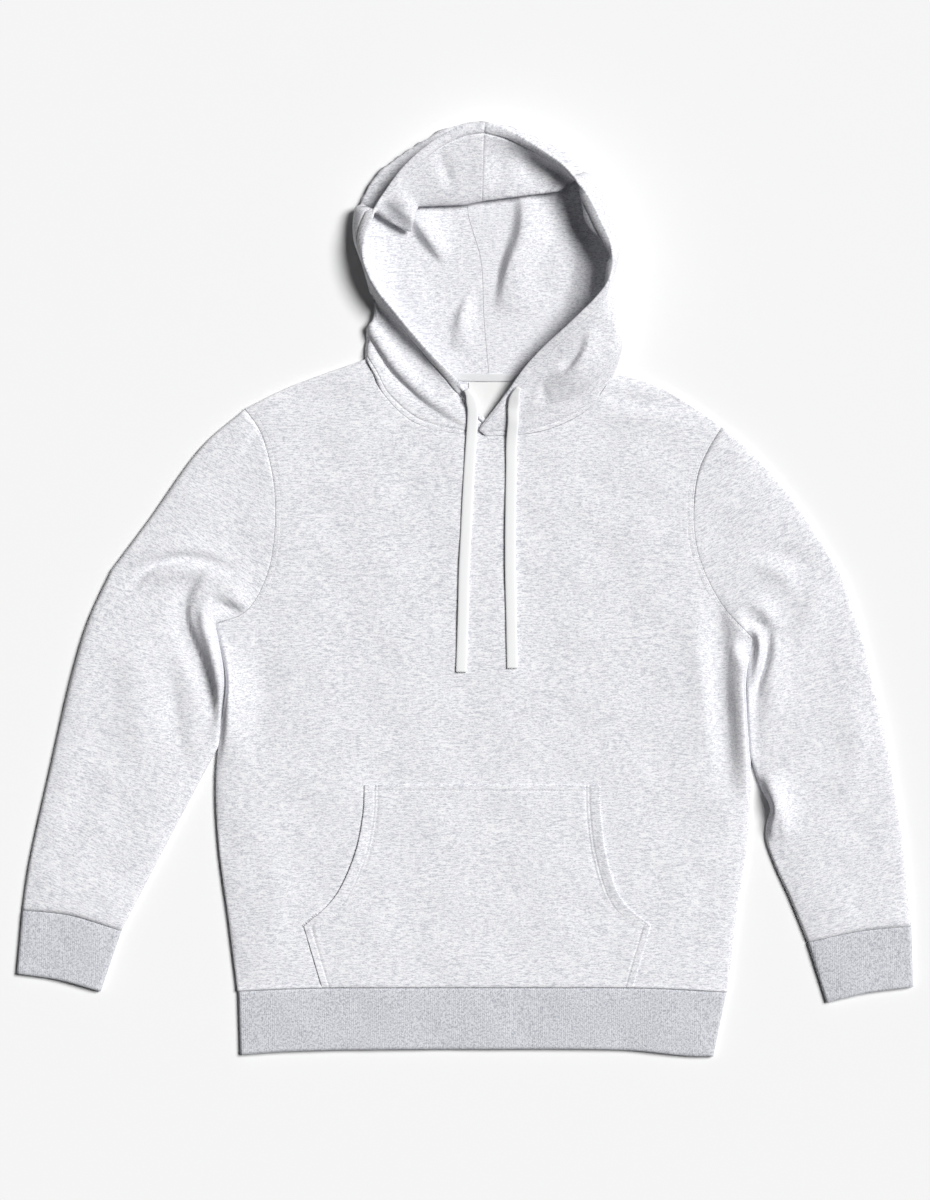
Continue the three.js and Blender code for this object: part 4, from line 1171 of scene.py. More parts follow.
@dataclass
class HoodPanel:
    """One side of the hood, from the rim of the face opening round to the seam down its middle."""

    hand: Hand
    centre: tuple[float, float] = (15, 330)  # the cloth at the forehead leans in towards this
    floor: float = HOOD_CLOTH  # height of the inner face where the hood rests
    fold_depth: float = 6.5  # height of the forehead fold's rounded edge
    underfold: float = 5  # height of the hidden ply on its way back to the crown
    sections: tuple[float, float] = (12, 60)  # lengths up to which one is straight and from which it sags
    turn_start: float = 9
    floor_start: float = 10
    tuck_range: tuple[float, float] = (8, 20)
    flap_rows: tuple[float, float] = (11.0, 11.4)  # rows over which the flap's end starts
    skirt: float = 0.5  # how far the cloth under the rim leans out over the floor, from 0 to 1
    tunnel: float = 9.6  # width of the hem round the face, in which the drawstring runs
    tunnel_puff: float = 1.1
    tunnel_roundness: float = 0.7  # the power of a sine that the hem's section follows
    tunnel_groove: tuple[float, float] = (1.1, 0.9)  # depth and width
    full_run: float = 60  # a section shorter than this has a hem that is narrower in proportion
    pucker: tuple[float, float, float, float] = (0.18, 7, 2, 23)  # share of the puff, spacing, drift, its run
    neck_row: tuple[float, float, float] = (5.3, 0.8, 0.9)  # place over the neck seam, depth and width
    bulges: tuple[float, float, float] = (0.4, 0.12, 1.6)  # of the edges at the neck, the seam and the rim
    crease_fade: float = 0.35  # on the collar the creases' parts start this much sooner, as a share
    steps: int = 58  # columns over the first six stretches of a section
    floor_steps: int = 48  # columns over the last one, evenly spaced
    evenness: float = 0.6  # 0 spaces the first columns by the section's control points and 1 by its length
    places: np.ndarray = field(init=False, repr=False)
    wraps: np.ndarray = field(init=False, repr=False)
    inner: np.ndarray = field(init=False, repr=False)
    outer: np.ndarray = field(init=False, repr=False)

    INSETS = (0, 0.6, 1.4, 2.4, 3.4, 4.4, 5.4, 6.4, 7.3, 8.1, 8.8, 9.3, 9.7, 10.2, 10.9, 12.2, 14.5)
    LAST = (8.5, 7.2, 6.3, 5.7, 5.3, 4.9, 4.3, 3.4, 2.2, 1.2, 0.4, 0.0)
    KNOTS = 24  # points of the fine curve along each of a section's seven stretches
    STRETCHES = 6  # those before the last one, which lies on the floor

    def section(self, row: dict[str, float], end: np.ndarray, wraps: float) -> np.ndarray:
        """The control points of one section, from the rim to its far end.

        Args:
            row: the values of the rim's table at the section.
            end: the point that it runs to.
            wraps: 0 on the collar, where it runs straight to the neck, and 1 where it wraps round under the
                head.

        Returns:
            Eight points.
        """
        edge = np.array([row["x"], row["y"], row["z"]])
        inwards = np.array(self.centre) - edge[:2]
        inwards /= np.linalg.norm(inwards)
        rise = edge[2] - self.floor
        dip = rise * smoothstep(np.linalg.norm(edge - end), *self.sections)

        def at(inset: float, z: float) -> np.ndarray:
            """The point at a distance inwards from the rim and at a height."""
            return np.array([*(edge[:2] + inwards * inset), z])

        def to_end(table: tuple[tuple[float, ...], ...], fall: float) -> np.ndarray:
            """Puts a section's points between the rim and the end.

            Args:
                table: their shares of the way, of the crest and of the fall.
                fall: the rim's height over the floor.

            Returns:
                The points, the rim and the end among them.
            """
            return np.array([edge, *[
                mix(edge, end, t) + [*(-inwards * belly * math.sin(math.pi * t)), up * crest + down * fall]
                for t, up, down in table], end])

        crest, belly, lobe, tuck, tuck_z, hollow, lip = (
            row[name] for name in ("crest", "belly", "lobe", "tuck", "tuck_z", "hollow", "lip"))
        turned = min(1.0, lip / 4)
        skirt = self.skirt
        falling = mix(to_end(SLACK, dip), to_end(STEEP, rise), row["sag"])
        bulge = np.array([
            edge, at(lip - 0.3 * lobe * (1 - turned), self.floor + 0.9 * rise - 0.7 * lip),
            at(-0.7 * lobe * (1 - 0.5 * turned), self.floor + 0.72 * rise - 0.6 * lip),
            at(-0.95 * lobe, self.floor + 0.52 * rise - 0.3 * lip), at(-lobe, self.floor + 0.32 * rise),
            at(mix(-0.7 * lobe, 2.0, skirt), self.floor + mix(0.1, 0.2, skirt) * rise),
            at(mix(12 - 0.2 * lobe, 34.0, skirt), self.floor), end,
        ])
        tucked = np.array([
            edge, at(mix(0.55, 0.26, hollow) * tuck, mix((edge[2] + tuck_z) / 2 + 1, tuck_z + 1.5, hollow)),
            at(tuck, tuck_z),
            at(tuck - 1, tuck_z - self.fold_depth), at(self.turn_start - lobe, self.underfold),
            at(-lobe, (self.underfold + self.floor) / 2), at(self.floor_start, self.floor), end,
        ])
        return mix(falling, mix(bulge, tucked, smoothstep(tuck, *self.tuck_range)), wraps)

    def points_of(self, controls: np.ndarray) -> tuple[np.ndarray, np.ndarray]:
        """Points along a section, closer together where it bends most.

        Args:
            controls: its control points.

        Returns:
            The points, and their shares of the way, counted by the control points.
        """
        lowest = min(controls[-1, 2], self.floor)
        curve = catmull_rom(controls, self.KNOTS)
        curve[:-1, 2] = np.maximum(curve[:-1, 2], lowest)
        run = lengths(curve)
        places = np.linspace(0, 1, len(curve))
        knee = self.STRETCHES * self.KNOTS
        shrink = min(1, run[-1] / self.full_run)
        spread = mix(places[:knee + 1] / places[knee], run[:knee + 1] / run[knee], self.evenness)
        near = np.interp(np.array(self.INSETS) * shrink, run, places)
        last = np.interp(run[-1] - np.array(self.LAST) * shrink, run, places)
        start = np.interp(near[-1], places[:knee + 1], spread)
        side = np.interp(mix(start, 1.0, np.arange(1, self.steps) / self.steps), spread, places[:knee + 1])
        stop = np.interp(last[0], places, run)
        floor = np.interp(mix(run[knee], stop, np.arange(self.floor_steps) / self.floor_steps), run, places)
        taken = np.concatenate([near, side, floor, last])
        return at_share(curve, taken), taken

    def ends(self) -> tuple[np.ndarray, int]:
        """The line that the sections run to: the front's neck, the back's neck and the hood's seam.

        Returns:
            The line's points, and the solids' row where the front's neck ends.
        """
        inside, back = shifted(NECK_FRONT, SEAM_GAP, FINE), shifted(NECK_BACK, SEAM_GAP, FINE)
        middle, half = STEPS["neck"] // 2 * FINE, STEPS["neck_back"] // 2 * FINE
        if self.hand is Hand.LEFT:
            neck, behind = inside[:middle + 1][::-1], back[:half + 1]
        else:
            neck, behind = inside[middle:], back[half:][::-1]
        seam_line = along(np.vstack([behind[-1], HOOD_SEAM]), STEPS["hood_seam"] * FINE)
        seam_line = seam_line - [self.hand.value * SEAM_GAP / 2, 0]
        return np.vstack([chain(neck, behind)[:-1], seam_line]), STEPS["neck"] // 2

    def grid(self) -> tuple[np.ndarray, np.ndarray]:
        """The form of the panel before its creases.

        Returns:
            The inner face's points, and the directions outwards from it.
        """
        sign = self.hand.value
        table = HOOD_RIM[self.hand]
        ends, last_front = self.ends()
        count = len(ends)
        k = np.arange(count) / FINE
        turns = smoothstep(k, last_front - 2, last_front)
        wraps = self.wraps = smoothstep(k, last_front, last_front + 3)
        outwards = left_of(ends, FINE) * sign
        rim = catmull_rom(table[:, :3], 24)
        place = np.linspace(0, 1, count)
        edges, words = at_share(rim, place), at_share(table, place)
        fine = {name: np.interp(k, *np.array(values).T) for name, values in HOOD_FINE[self.hand].items()}
        fine["tuck"] = self.to_fold(edges) * smoothstep(k, *self.flap_rows)
        lifts = np.interp(k, range(4), FRONT_LIFT[self.hand])
        on_front = np.maximum(top_height(ends[:, 0], ends[:, 1]) - HOOD_CLOTH, FLEECE + SEAM_GAP) + lifts
        low = np.where(k > last_front, self.floor, on_front + HOOD_CLOTH * turns)
        inset = -HOOD_CLOTH * np.sin(math.pi * turns)
        made = []
        for i in range(count):
            row = dict(zip(HOOD_COLUMNS, words[i])) | {name: values[i] for name, values in fine.items()}
            row |= {"x": edges[i, 0], "y": edges[i, 1], "z": edges[i, 2]}
            end = np.array([*(ends[i] + outwards[i] * inset[i]), low[i]])
            made.append(self.points_of(self.section(row, end, wraps[i])))
        grid = np.array([points for points, _ in made])
        self.places = np.array([shares for _, shares in made])
        t = np.linspace(0, 1, grid.shape[1])
        grid[-1, :, 0] = mix(edges[-1, 0] - sign * SEAM_GAP / 2, ends[-1, 0], t)
        return grid, self.normals(grid, turns, outwards)

    def to_fold(self, edges: np.ndarray) -> np.ndarray:
        """How far it is from the rim, towards the middle, to the flap's lower edge.

        Args:
            edges: the rim's points.

        Returns:
            The distance from each, or 0 where the way doesn't meet the edge.
        """
        rays = np.array(self.centre) - edges[:, :2]
        rays /= np.linalg.norm(rays, axis=1, keepdims=True)
        reach = np.zeros(len(edges))
        for start, way in zip(FOLD_EDGE[:-1], np.diff(FOLD_EDGE, axis=0)):
            gap = start - edges[:, :2]
            cross = rays[:, 0] * way[1] - rays[:, 1] * way[0]
            far = (gap[:, 0] * way[1] - gap[:, 1] * way[0]) / cross
            share = (gap[:, 0] * rays[:, 1] - gap[:, 1] * rays[:, 0]) / cross
            reach = np.where((share >= 0) & (share <= 1) & (far > 0), far, reach)
        return reach

    def normals(self, grid: np.ndarray, turns: np.ndarray, outwards: np.ndarray) -> np.ndarray:
        """Directions outwards from the inner face.

        Args:
            grid: the face's points.
            turns: how far each section's end has turned over from the front's neck to the back's, 0 to 1.
            outwards: the flat direction across the seam at each section's end.

        Returns:
            Directions of length 1.
        """
        rows, columns = np.arange(grid.shape[0]), np.arange(grid.shape[1])
        section = grid[:, np.minimum(columns + 1, columns[-1])] - grid[:, np.maximum(columns - 1, 0)]
        rim = grid[np.minimum(rows + 1, rows[-1])] - grid[np.maximum(rows - 1, 0)]
        normal = np.cross(section, rim) * -self.hand.value
        normal[-1, :, 0] = 0
        angle = math.pi * turns
        normal[:, -1] = np.stack([*(outwards.T * np.sin(angle)), np.cos(angle)], axis=1)
        return normal / np.maximum(np.linalg.norm(normal, axis=2, keepdims=True), 1e-9)

    def relief(self, grid: np.ndarray) -> np.ndarray:
        """How far the creases push the cloth towards the wearer's side.

        Args:
            grid: the inner face's points.

        Returns:
            The distance at each point.
        """
        x, y = grid[..., 0], grid[..., 1]
        share, wraps = self.places, self.wraps[:, None]
        total = np.zeros_like(x)
        for crease in HOOD_CREASES:
            first, last = crease.shares
            first = first * mix(self.crease_fade, 1.0, wraps)
            window = (smoothstep(share, first - 0.04, first + 0.02)
                      * (1 - smoothstep(share, last - 0.02, last + 0.04)))
            on_hood = smoothstep(wraps, 0, 0.2) if crease.shares == FLOOR else 1.0
            total += crease_height(crease, x, y) * window * on_hood
        return total * smoothstep(share, 0, 0.08) * (1 - smoothstep(share, 0.97, 1))

    def build(self, material: bpy.types.Material) -> bpy.types.Object:
        """Makes the panel.

        Args:
            material: its finish.

        Returns:
            The object.
        """
        grid, normals = self.grid()
        run = np.concatenate([np.zeros((len(grid), 1)),
                              np.cumsum(np.linalg.norm(np.diff(grid, axis=1), axis=2), axis=1)], axis=1)
        rim_run = lengths(grid[:, 0])[:, None]
        wide = self.tunnel * np.minimum(1, run[:, -1:] / self.full_run)
        puff = np.sin(math.pi * np.clip(run / wide, 0, 1)) ** self.tunnel_roundness * self.tunnel_puff
        share, spacing, drift, drift_run = self.pucker
        turn = 2 * math.pi * rim_run / spacing + drift * np.sin(rim_run / drift_run)
        puff = puff * (1 + share * np.sin(turn))
        puff += groove(run, wide, *self.tunnel_groove)
        on_neck = (np.arange(len(grid)) <= STEPS["neck"] // 2 * FINE)[:, None]
        row = groove(run[:, -1:] - run, *self.neck_row) * on_neck
        push = self.relief(grid)
        self.inner = grid - normals * (push + puff)[..., None]
        self.outer = grid + normals * (HOOD_CLOTH + puff + row - push)[..., None]
        self.inner[..., 2] = np.maximum(self.inner[..., 2], np.minimum(grid[..., 2], self.floor))
        self.outer[..., 2] = np.maximum(self.outer[..., 2], 0)
        upper, lower = (self.inner, self.outer) if self.hand is Hand.LEFT else (self.outer, self.inner)
        at_neck, at_seam, at_rim = self.bulges
        bulges = np.full(grid.shape[:2], at_neck)
        bulges[STEPS["neck"] // 2 * FINE:, -1] = at_seam
        bulges[:, 0] = at_rim
        bulges = bulges.reshape(-1)[border(*grid.shape[:2])]
        return shell(f"hood_{self.hand.word}", upper, lower, upper, bulges, material)

    def stitches(self) -> list[np.ndarray]:
        """The hood's sewing.

        Returns:
            The rows beside the hem round the face, inside and outside, and the row above the neck seam.
        """
        made = [self.line(face, self.tunnel, slice(8, None)) for face in (self.inner, self.outer)]
        made.append(self.line(self.outer, self.neck_row[0], slice(4, STEPS["neck"] // 2 * FINE), True))
        return made

    def line(self, face: np.ndarray, distance: float, rows: slice, from_end: bool = False) -> np.ndarray:
        """A line on a face at a distance along each section.

        Args:
            face: the inner or the outer face's points.
            distance: the distance in millimetres.
            rows: the sections that the line crosses.
            from_end: whether the distance counts from the far seam, and not from the rim.

        Returns:
            The line's points.
        """
        made = []
        for points in face[rows]:
            points = points[::-1] if from_end else points
            run = lengths(points)
            reach = distance if from_end else distance * min(1, run[-1] / self.full_run)
            made.append(at_share(points, np.array([min(reach, run[-1])]), run)[0])
        return np.array(made)


@dataclass
class NeckTrim:
    """The tape over the seam at the back of the neck, and the blank label under it."""

    tape_width: float = 8
    tape_thick: float = 1.0
    tape_low: float = 3.3
    tape_span: tuple[int, int] = (2, 6)
    label_left: float = 4
    label_width: float = 46
    label_top: float = 221
    label_drop: float = 43
    label_thick: float = 0.8
    label_low: float = 2.9
    tape_rows: int = 9
    tape_dome: float = 0.35  # how much lower the tape's edges are than its middle
    tape_bulge: float = 0.1
    label_bulge: float = 0.3
    label_grid: tuple[int, int] = (30, 26)

    def tape(self, material: bpy.types.Material) -> bpy.types.Object:
        """Makes the tape, slightly domed across.

        Args:
            material: its finish.

        Returns:
            The object.
        """
        first, last = self.tape_span
        line = NECK_BACK[first * FINE:last * FINE + 1]
        offsets = np.linspace(-1, 1, self.tape_rows) * self.tape_width / 2
        plan = np.stack([shifted(line, offset) for offset in offsets])
        high = self.tape_low + self.tape_thick - self.tape_dome * (offsets / offsets[-1])[:, None] ** 4
        z = np.broadcast_to(high, plan.shape[:2])
        run = np.broadcast_to(lengths(line), z.shape)
        cloth = np.dstack([run, np.broadcast_to(offsets[:, None], z.shape), z])
        upper = np.dstack([plan[..., 0], plan[..., 1], z])
        lower = np.dstack([plan[..., 0], plan[..., 1], np.full(z.shape, self.tape_low)])
        return shell("neck_tape", upper, lower, cloth, self.tape_bulge, material)

    def label(self, material: bpy.types.Material) -> bpy.types.Object:
        """Makes the label.

        Args:
            material: its finish.

        Returns:
            The object.
        """
        across, down = self.label_grid
        x = self.label_left + self.label_width * np.linspace(0, 1, across)
        y = self.label_top - self.label_drop * np.linspace(1, 0, down)
        gx, gy = np.meshgrid(x, y)
        high = np.full(gx.shape, self.label_low + self.label_thick)
        upper, lower = np.dstack([gx, gy, high]), np.dstack([gx, gy, high - self.label_thick])
        return shell("label", upper, lower, upper, self.label_bulge, material)


# The centres of the drawstrings, from where they leave the hood's hem to their free ends.
CORD_ROUTES = {
    Hand.LEFT: pts((1, 213, 16.3), (5, 206, 15.1), (8, 194, 13.5), (8, 180, 11.6), (7, 165, 10.6),
                   (6, 150, 10.6), (4, 120, 10.7), (1, 61, 10.7), (-1, 20, 10.7), (-2, -25, 10.7),
                   (-4, -86, 10.7)),
    Hand.RIGHT: pts((57, 215, 24.5), (53, 206, 22.3), (51, 194, 18.2), (51, 180, 16.4), (50, 167, 13.2),
                    (49, 152, 11.2), (49, 135, 10.9), (48, 61, 10.9), (48, 20, 10.9), (49, -25, 10.9),
                    (50, -82, 10.9)),
}


@dataclass
class Drawstring:
    """A flat braided cord, from the hood's hem to its free end."""

    hand: Hand
    width: float = 11.5
    thick: float = 2.4
    steps: int = 150
    corners: int = 20
    squareness: tuple[float, float] = (0.55, 0.8)  # powers of the cosine and the sine of the flat section
    mouth_swell: float = 1.25  # how much thicker the cord is at its hole, where it is narrow
    mouth: float = 0.5  # the share of the width that the cord has where it leaves its hole
    opening_out: float = 16  # how far from the hole it has its full width

    def build(self, material: bpy.types.Material) -> bpy.types.Object:
        """Makes the cord and puts it on the garment.

        Args:
            material: its finish.

        Returns:
            The object.
        """
        line = along(CORD_ROUTES[self.hand], self.steps)
        run = lengths(line)
        way = np.gradient(line, axis=0)
        way /= np.linalg.norm(way, axis=1, keepdims=True)
        across = np.stack([-way[:, 1], way[:, 0], np.zeros(len(way))], axis=1)
        across /= np.linalg.norm(across, axis=1, keepdims=True)
        up = np.cross(way, across)
        up *= np.sign(up[:, 2:3])
        angle = np.linspace(0, 2 * math.pi, self.corners, endpoint=False)
        share = mix(self.mouth, 1.0, smoothstep(run, 0, self.opening_out))
        wide, high = (np.sign(turn) * np.abs(turn) ** power * size / 2 for turn, power, size in zip(
            (np.cos(angle), np.sin(angle)), self.squareness, (self.width, self.thick)))
        opened = (share[:, None] - self.mouth) / (1 - self.mouth)
        rings = (line[:, None] + across[:, None] * (wide * share[:, None])[..., None]
                 + up[:, None] * (high * mix(self.mouth_swell, 1, opened))[..., None])
        points = rings.reshape(-1, 3)
        cloth = np.dstack([np.broadcast_to(each, rings.shape[:2]) for each in (wide, run[:, None], high)])
        rows, columns = rings.shape[:2]
        quads = grid_quads(rows, columns, 0, True)
        name = f"drawstring_{self.hand.word}"
        made = mesh_piece(name, points, quads, cloth.reshape(-1, 3), material)
        close_ends(made)
        ride(made, Slot.CORD, name)
        return made


def close_ends(piece: bpy.types.Object) -> None:
    """Fills a mesh's open ends and turns its faces outwards.

    Args:
        piece: the object, which is changed.
    """
    work = bmesh.new()
    work.from_mesh(piece.data)
    bmesh.ops.holes_fill(work, edges=[e for e in work.edges if e.is_boundary], sides=0)
    bmesh.ops.recalc_face_normals(work, faces=work.faces)
    work.to_mesh(piece.data)
    work.free()


@dataclass(frozen=True)
class Cut:
    """The flat cut of what shows of a cloth piece, in metres and square metres."""

    width: float
    length: float
    area: float
    rests_on: tuple[str, ...] = ()

    def declare(self, piece: bpy.types.Object) -> None:
        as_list(self.rests_on)


# Tubes are measured all round. The rib and the hood are double, and their cut here is that of one face.
CUTS = {
    "back_panel": Cut(0.568, 0.671, 0.334, ("floor",)),
    "front_panel": Cut(0.570, 0.672, 0.322, ("back_panel_cloth",)),
    "sleeve_left": Cut(0.430, 0.590, 0.148, ("floor",)),
    "sleeve_right": Cut(0.400, 0.580, 0.133, ("floor",)),
    "cuff_left": Cut(0.210, 0.067, 0.0136, ("floor",)),
    "cuff_right": Cut(0.210, 0.067, 0.0134, ("floor",)),
    "waistband": Cut(1.010, 0.069, 0.0668, ("floor",)),
    "pocket": Cut(0.366, 0.213, 0.0637, ("front_panel_cloth",)),
    "hood_left": Cut(0.250, 0.350, 0.0600, ("floor", "front_panel_cloth")),
    "hood_right": Cut(0.270, 0.350, 0.0650, ("floor", "front_panel_cloth")),
    "neck_tape": Cut(0.010, 0.160, 0.0013, ("back_panel_cloth",)),
    "label": Cut(0.046, 0.043, 0.00197, ("back_panel_cloth",)),
}


def ride(piece: bpy.types.Object, slot: Slot, *nodes: str) -> bpy.types.Object:
    """Puts a piece on the root body, in place of its solids.

    Args:
        piece: the piece.
        slot: its material slot, which is not used.
        nodes: the solids that it replaces, if any.

    Returns:
        The same piece.
    """
    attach(piece, ROOT)
    if nodes:
        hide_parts(*nodes)
    return piece


def linear(hex_colour: str) -> tuple[float, float, float, float]:
    """An sRGB colour in hex as linear numbers."""
    parts = [int(hex_colour[i:i + 2], 16) / 255 for i in (1, 3, 5)]
    return (*[c / 12.92 if c <= 0.04045 else ((c + 0.055) / 1.055) ** 2.4 for c in parts], 1.0)


def add_node(tree: bpy.types.NodeTree, kind: str, settings: dict | None = None,
             links: dict | None = None) -> bpy.types.Node:
    """Adds a node.

    Args:
        tree: the tree it goes into.
        kind: the node's type name.
        settings: its properties by name, and its inputs' values by number or by name with "in:" before it.
        links: for each input, by number or name, the output that it takes its value from.

    Returns:
        The node.
    """
    node = tree.nodes.new(kind)
    for key, value in (settings or {}).items():
        if isinstance(key, int):
            node.inputs[key].default_value = value
        elif key.startswith("in:"):
            node.inputs[key[3:]].default_value = value
        else:
            setattr(node, key, value)
    for key, source in (links or {}).items():
        tree.links.new(source, node.inputs[key])
    return node


def new_material(name: str, **surface: float | tuple[float, ...]) -> tuple[
        bpy.types.Material, bpy.types.NodeTree, bpy.types.Node]:
    """Makes a material with one shader.

    Args:
        name: the material's name.
        surface: values of the shader's inputs, with an underscore for each space in their names.

    Returns:
        The material, its tree and its shader.
    """
    material = bpy.data.materials.new(name)
    material.use_nodes = True
    tree = material.node_tree
    tree.nodes.clear()
    shader = add_node(tree, "ShaderNodeBsdfPrincipled",
                      {f"in:{key.replace('_', ' ')}": value for key, value in surface.items()})
    add_node(tree, "ShaderNodeOutputMaterial", links={"Surface": shader.outputs[0]})
    return material, tree, shader


def stretched_noise(tree: bpy.types.NodeTree, place: bpy.types.NodeSocket, size: tuple[float, float, float],
                    detail: float = 2.0) -> bpy.types.NodeSocket:
    """Adds noise.

    Args:
        tree: the tree it goes into.
        place: the place on the cloth, in millimetres.
        size: the grains' size each way, in millimetres.
        detail: how many finer layers it has.

    Returns:
        The noise, from 0 to 1.
    """
    scaled = add_node(tree, "ShaderNodeVectorMath", {"operation": "MULTIPLY", 1: [1 / s for s in size]},
                      {0: place})
    noise = add_node(tree, "ShaderNodeTexNoise", {"in:Scale": 1.0, "in:Detail": detail, "in:Roughness": 0.5},
                     {"Vector": scaled.outputs[0]})
    return noise.outputs["Fac"]


def wave(tree: bpy.types.NodeTree, place: bpy.types.NodeSocket, way: tuple[float, float, float],
         pitch: float) -> bpy.types.NodeSocket:
    """Adds a sine.

    Args:
        tree: the tree it goes into.
        place: the place on the cloth, in millimetres.
        way: the direction that it runs in.
        pitch: its length, in millimetres.

    Returns:
        The sine, from -1 to 1.
    """
    turn = [2 * math.pi / pitch * c for c in way]
    along_way = add_node(tree, "ShaderNodeVectorMath", {"operation": "DOT_PRODUCT", 1: turn}, {0: place})
    return add_node(tree, "ShaderNodeMath", {"operation": "SINE"}, {0: along_way.outputs["Value"]}).outputs[0]


def chevron(tree: bpy.types.NodeTree, place: bpy.types.NodeSocket, band: float, pitch: float,
            slope: float) -> bpy.types.NodeSocket:
    """Adds a sine in zigzags: its lines lean one way over a band's width and the other way over the next.

    Args:
        tree: the tree it goes into.
        place: the place on the cloth, in millimetres.
        band: a band's width.
        pitch: the distance between the lines.
        slope: how steeply they lean.

    Returns:
        The sine, from -1 to 1.
    """
    split = add_node(tree, "ShaderNodeSeparateXYZ", links={0: place})
    fold = add_node(tree, "ShaderNodeMath", {"operation": "PINGPONG", 1: band}, {0: split.outputs[0]})
    lean = add_node(tree, "ShaderNodeMath", {"operation": "MULTIPLY_ADD", 1: slope},
                    {0: fold.outputs[0], 2: split.outputs[1]})
    turn = add_node(tree, "ShaderNodeMath", {"operation": "MULTIPLY", 1: 2 * math.pi / pitch},
                    {0: lean.outputs[0]})
    return add_node(tree, "ShaderNodeMath", {"operation": "SINE"}, {0: turn.outputs[0]}).outputs[0]


@dataclass(frozen=True)
class HeatherCloth:
    """Knitted cloth in a yarn of light and dark cotton fibre, brushed on the back.

    To the eye it is matt and slightly fuzzy: a near-white ground with short soft grey streaks along the
    courses. As rib, it is greyer, its specks are short both ways and fine upright wales run over it.
    """

    name: str = "heather fleece"
    ground: str = "#F3F3F5"
    streak: str = "#BDBEC7"
    streak_size: tuple[float, float, float] = (6.5, 1.5, 1.5)
    fleck_size: tuple[float, float, float] = (1.9, 0.8, 0.8)
    low: float = 0.38
    high: float = 0.68
    roughness: float = 0.95
    sheen: float = 0.12
    specular: float = 0.2
    bump: float = 0.3
    relief: float = 0.6  # height of the yarns, in millimetres
    wale: float = 0.0  # pitch of the wales, none where it is 0
    wale_share: float = 0.5

    def material(self) -> bpy.types.Material:
        """Makes the material.

        Returns:
            The material.
        """
        material, tree, shader = new_material(
            self.name, Roughness=self.roughness, Sheen_Weight=self.sheen, Specular_IOR_Level=self.specular)
        place = add_node(tree, "ShaderNodeAttribute", {"attribute_name": "cloth"}).outputs["Vector"]
        streaks = stretched_noise(tree, place, self.streak_size)
        flecks = stretched_noise(tree, place, self.fleck_size, 1.0)
        half = add_node(tree, "ShaderNodeMath", {"operation": "MULTIPLY", 1: 0.5}, {0: streaks})
        both = add_node(tree, "ShaderNodeMath", {"operation": "MULTIPLY_ADD", 1: 0.5},
                        {0: flecks, 2: half.outputs[0]})
        share = add_node(tree, "ShaderNodeMapRange", {
            "in:From Min": self.low, "in:From Max": self.high, "interpolation_type": "SMOOTHSTEP"},
                         {"Value": both.outputs[0]})
        colour = add_node(tree, "ShaderNodeMix", {"data_type": "RGBA", 6: linear(self.ground),
                                                  7: linear(self.streak)}, {0: share.outputs[0]})
        height = both.outputs[0]
        if self.wale:
            ribs = wave(tree, place, (1, 0, 0), self.wale)
            height = add_node(tree, "ShaderNodeMath", {"operation": "MULTIPLY_ADD", 1: self.wale_share},
                              {0: ribs, 2: height}).outputs[0]
        bump = add_node(tree, "ShaderNodeBump", {"in:Strength": self.bump, "in:Distance": self.relief * MM},
                        {"Height": height})
        tree.links.new(colour.outputs[2], shader.inputs["Base Color"])
        tree.links.new(bump.outputs[0], shader.inputs["Normal"])
        return material


@dataclass(frozen=True)
class ZigzagWeave:
    """A narrow cotton weave whose yarns run in zigzags: the drawstrings' braid and the tape's herringbone.

    To the eye it is nearly white and matt, with fine slanting ridges. The hollows between the ridges are
    painted a darker colour, as painted shade.
    """

    name: str
    colour: str
    # hollow: the painted shade, a darker colour painted into the dips between the ridges
    hollow: str
    band: float
    pitch: float
    slope: float
    roughness: float = 0.85
    sheen: float = 0.1
    specular: float = 0.25
    bump: float = 0.5
    relief: float = 0.3  # height of the ridges, in millimetres

    def material(self) -> bpy.types.Material:
        """Makes the material.

        Returns:
            The material.
        """
        material, tree, shader = new_material(
            self.name, Roughness=self.roughness, Sheen_Weight=self.sheen, Specular_IOR_Level=self.specular)
        place = add_node(tree, "ShaderNodeAttribute", {"attribute_name": "cloth"}).outputs["Vector"]
        yarns = chevron(tree, place, self.band, self.pitch, self.slope)
        # The colour follows the ridges' height, so the dips get the painted shade.
        share = add_node(tree, "ShaderNodeMapRange", {"in:From Min": -1.0, "in:From Max": 0.3},
                         {"Value": yarns})
        colour = add_node(tree, "ShaderNodeMix", {"data_type": "RGBA", 6: linear(self.hollow),
                                                  7: linear(self.colour)}, {0: share.outputs[0]})
        bump = add_node(tree, "ShaderNodeBump", {"in:Strength": self.bump, "in:Distance": self.relief * MM},
                        {"Height": yarns})
        tree.links.new(colour.outputs[2], shader.inputs["Base Color"])
        tree.links.new(bump.outputs[0], shader.inputs["Normal"])
        return material


@dataclass(frozen=True)
class SatinLabel:
    """Woven satin of the label: white, smooth, plain and a little shiny along its fine threads."""

    colour: str = "#E8E8E7"
    pitch: float = 0.45
    roughness: float = 0.42
    sheen: float = 0.2
    bump: float = 0.15
    relief: float = 0.1  # height of the threads, in millimetres

    def material(self) -> bpy.types.Material:
        """Makes the material.

        Returns:
            The material.
        """
        material, tree, shader = new_material(
            "satin label", Base_Color=linear(self.colour), Roughness=self.roughness, Sheen_Weight=self.sheen)
        place = add_node(tree, "ShaderNodeAttribute", {"attribute_name": "cloth"}).outputs["Vector"]
        threads = wave(tree, place, (0, 1, 0), self.pitch)
        bump = add_node(tree, "ShaderNodeBump", {"in:Strength": self.bump, "in:Distance": self.relief * MM},
                        {"Height": threads})
        tree.links.new(bump.outputs[0], shader.inputs["Normal"])
        return material


@dataclass(frozen=True)
class PlainFinish:
    """One even colour: the cotton thread, off-white with a slight gleam, and the floor's matt pale paint."""

    name: str
    colour: str
    roughness: float

    def material(self) -> bpy.types.Material:
        """Makes the material."""
        return new_material(self.name, Base_Color=linear(self.colour), Roughness=self.roughness)[0]


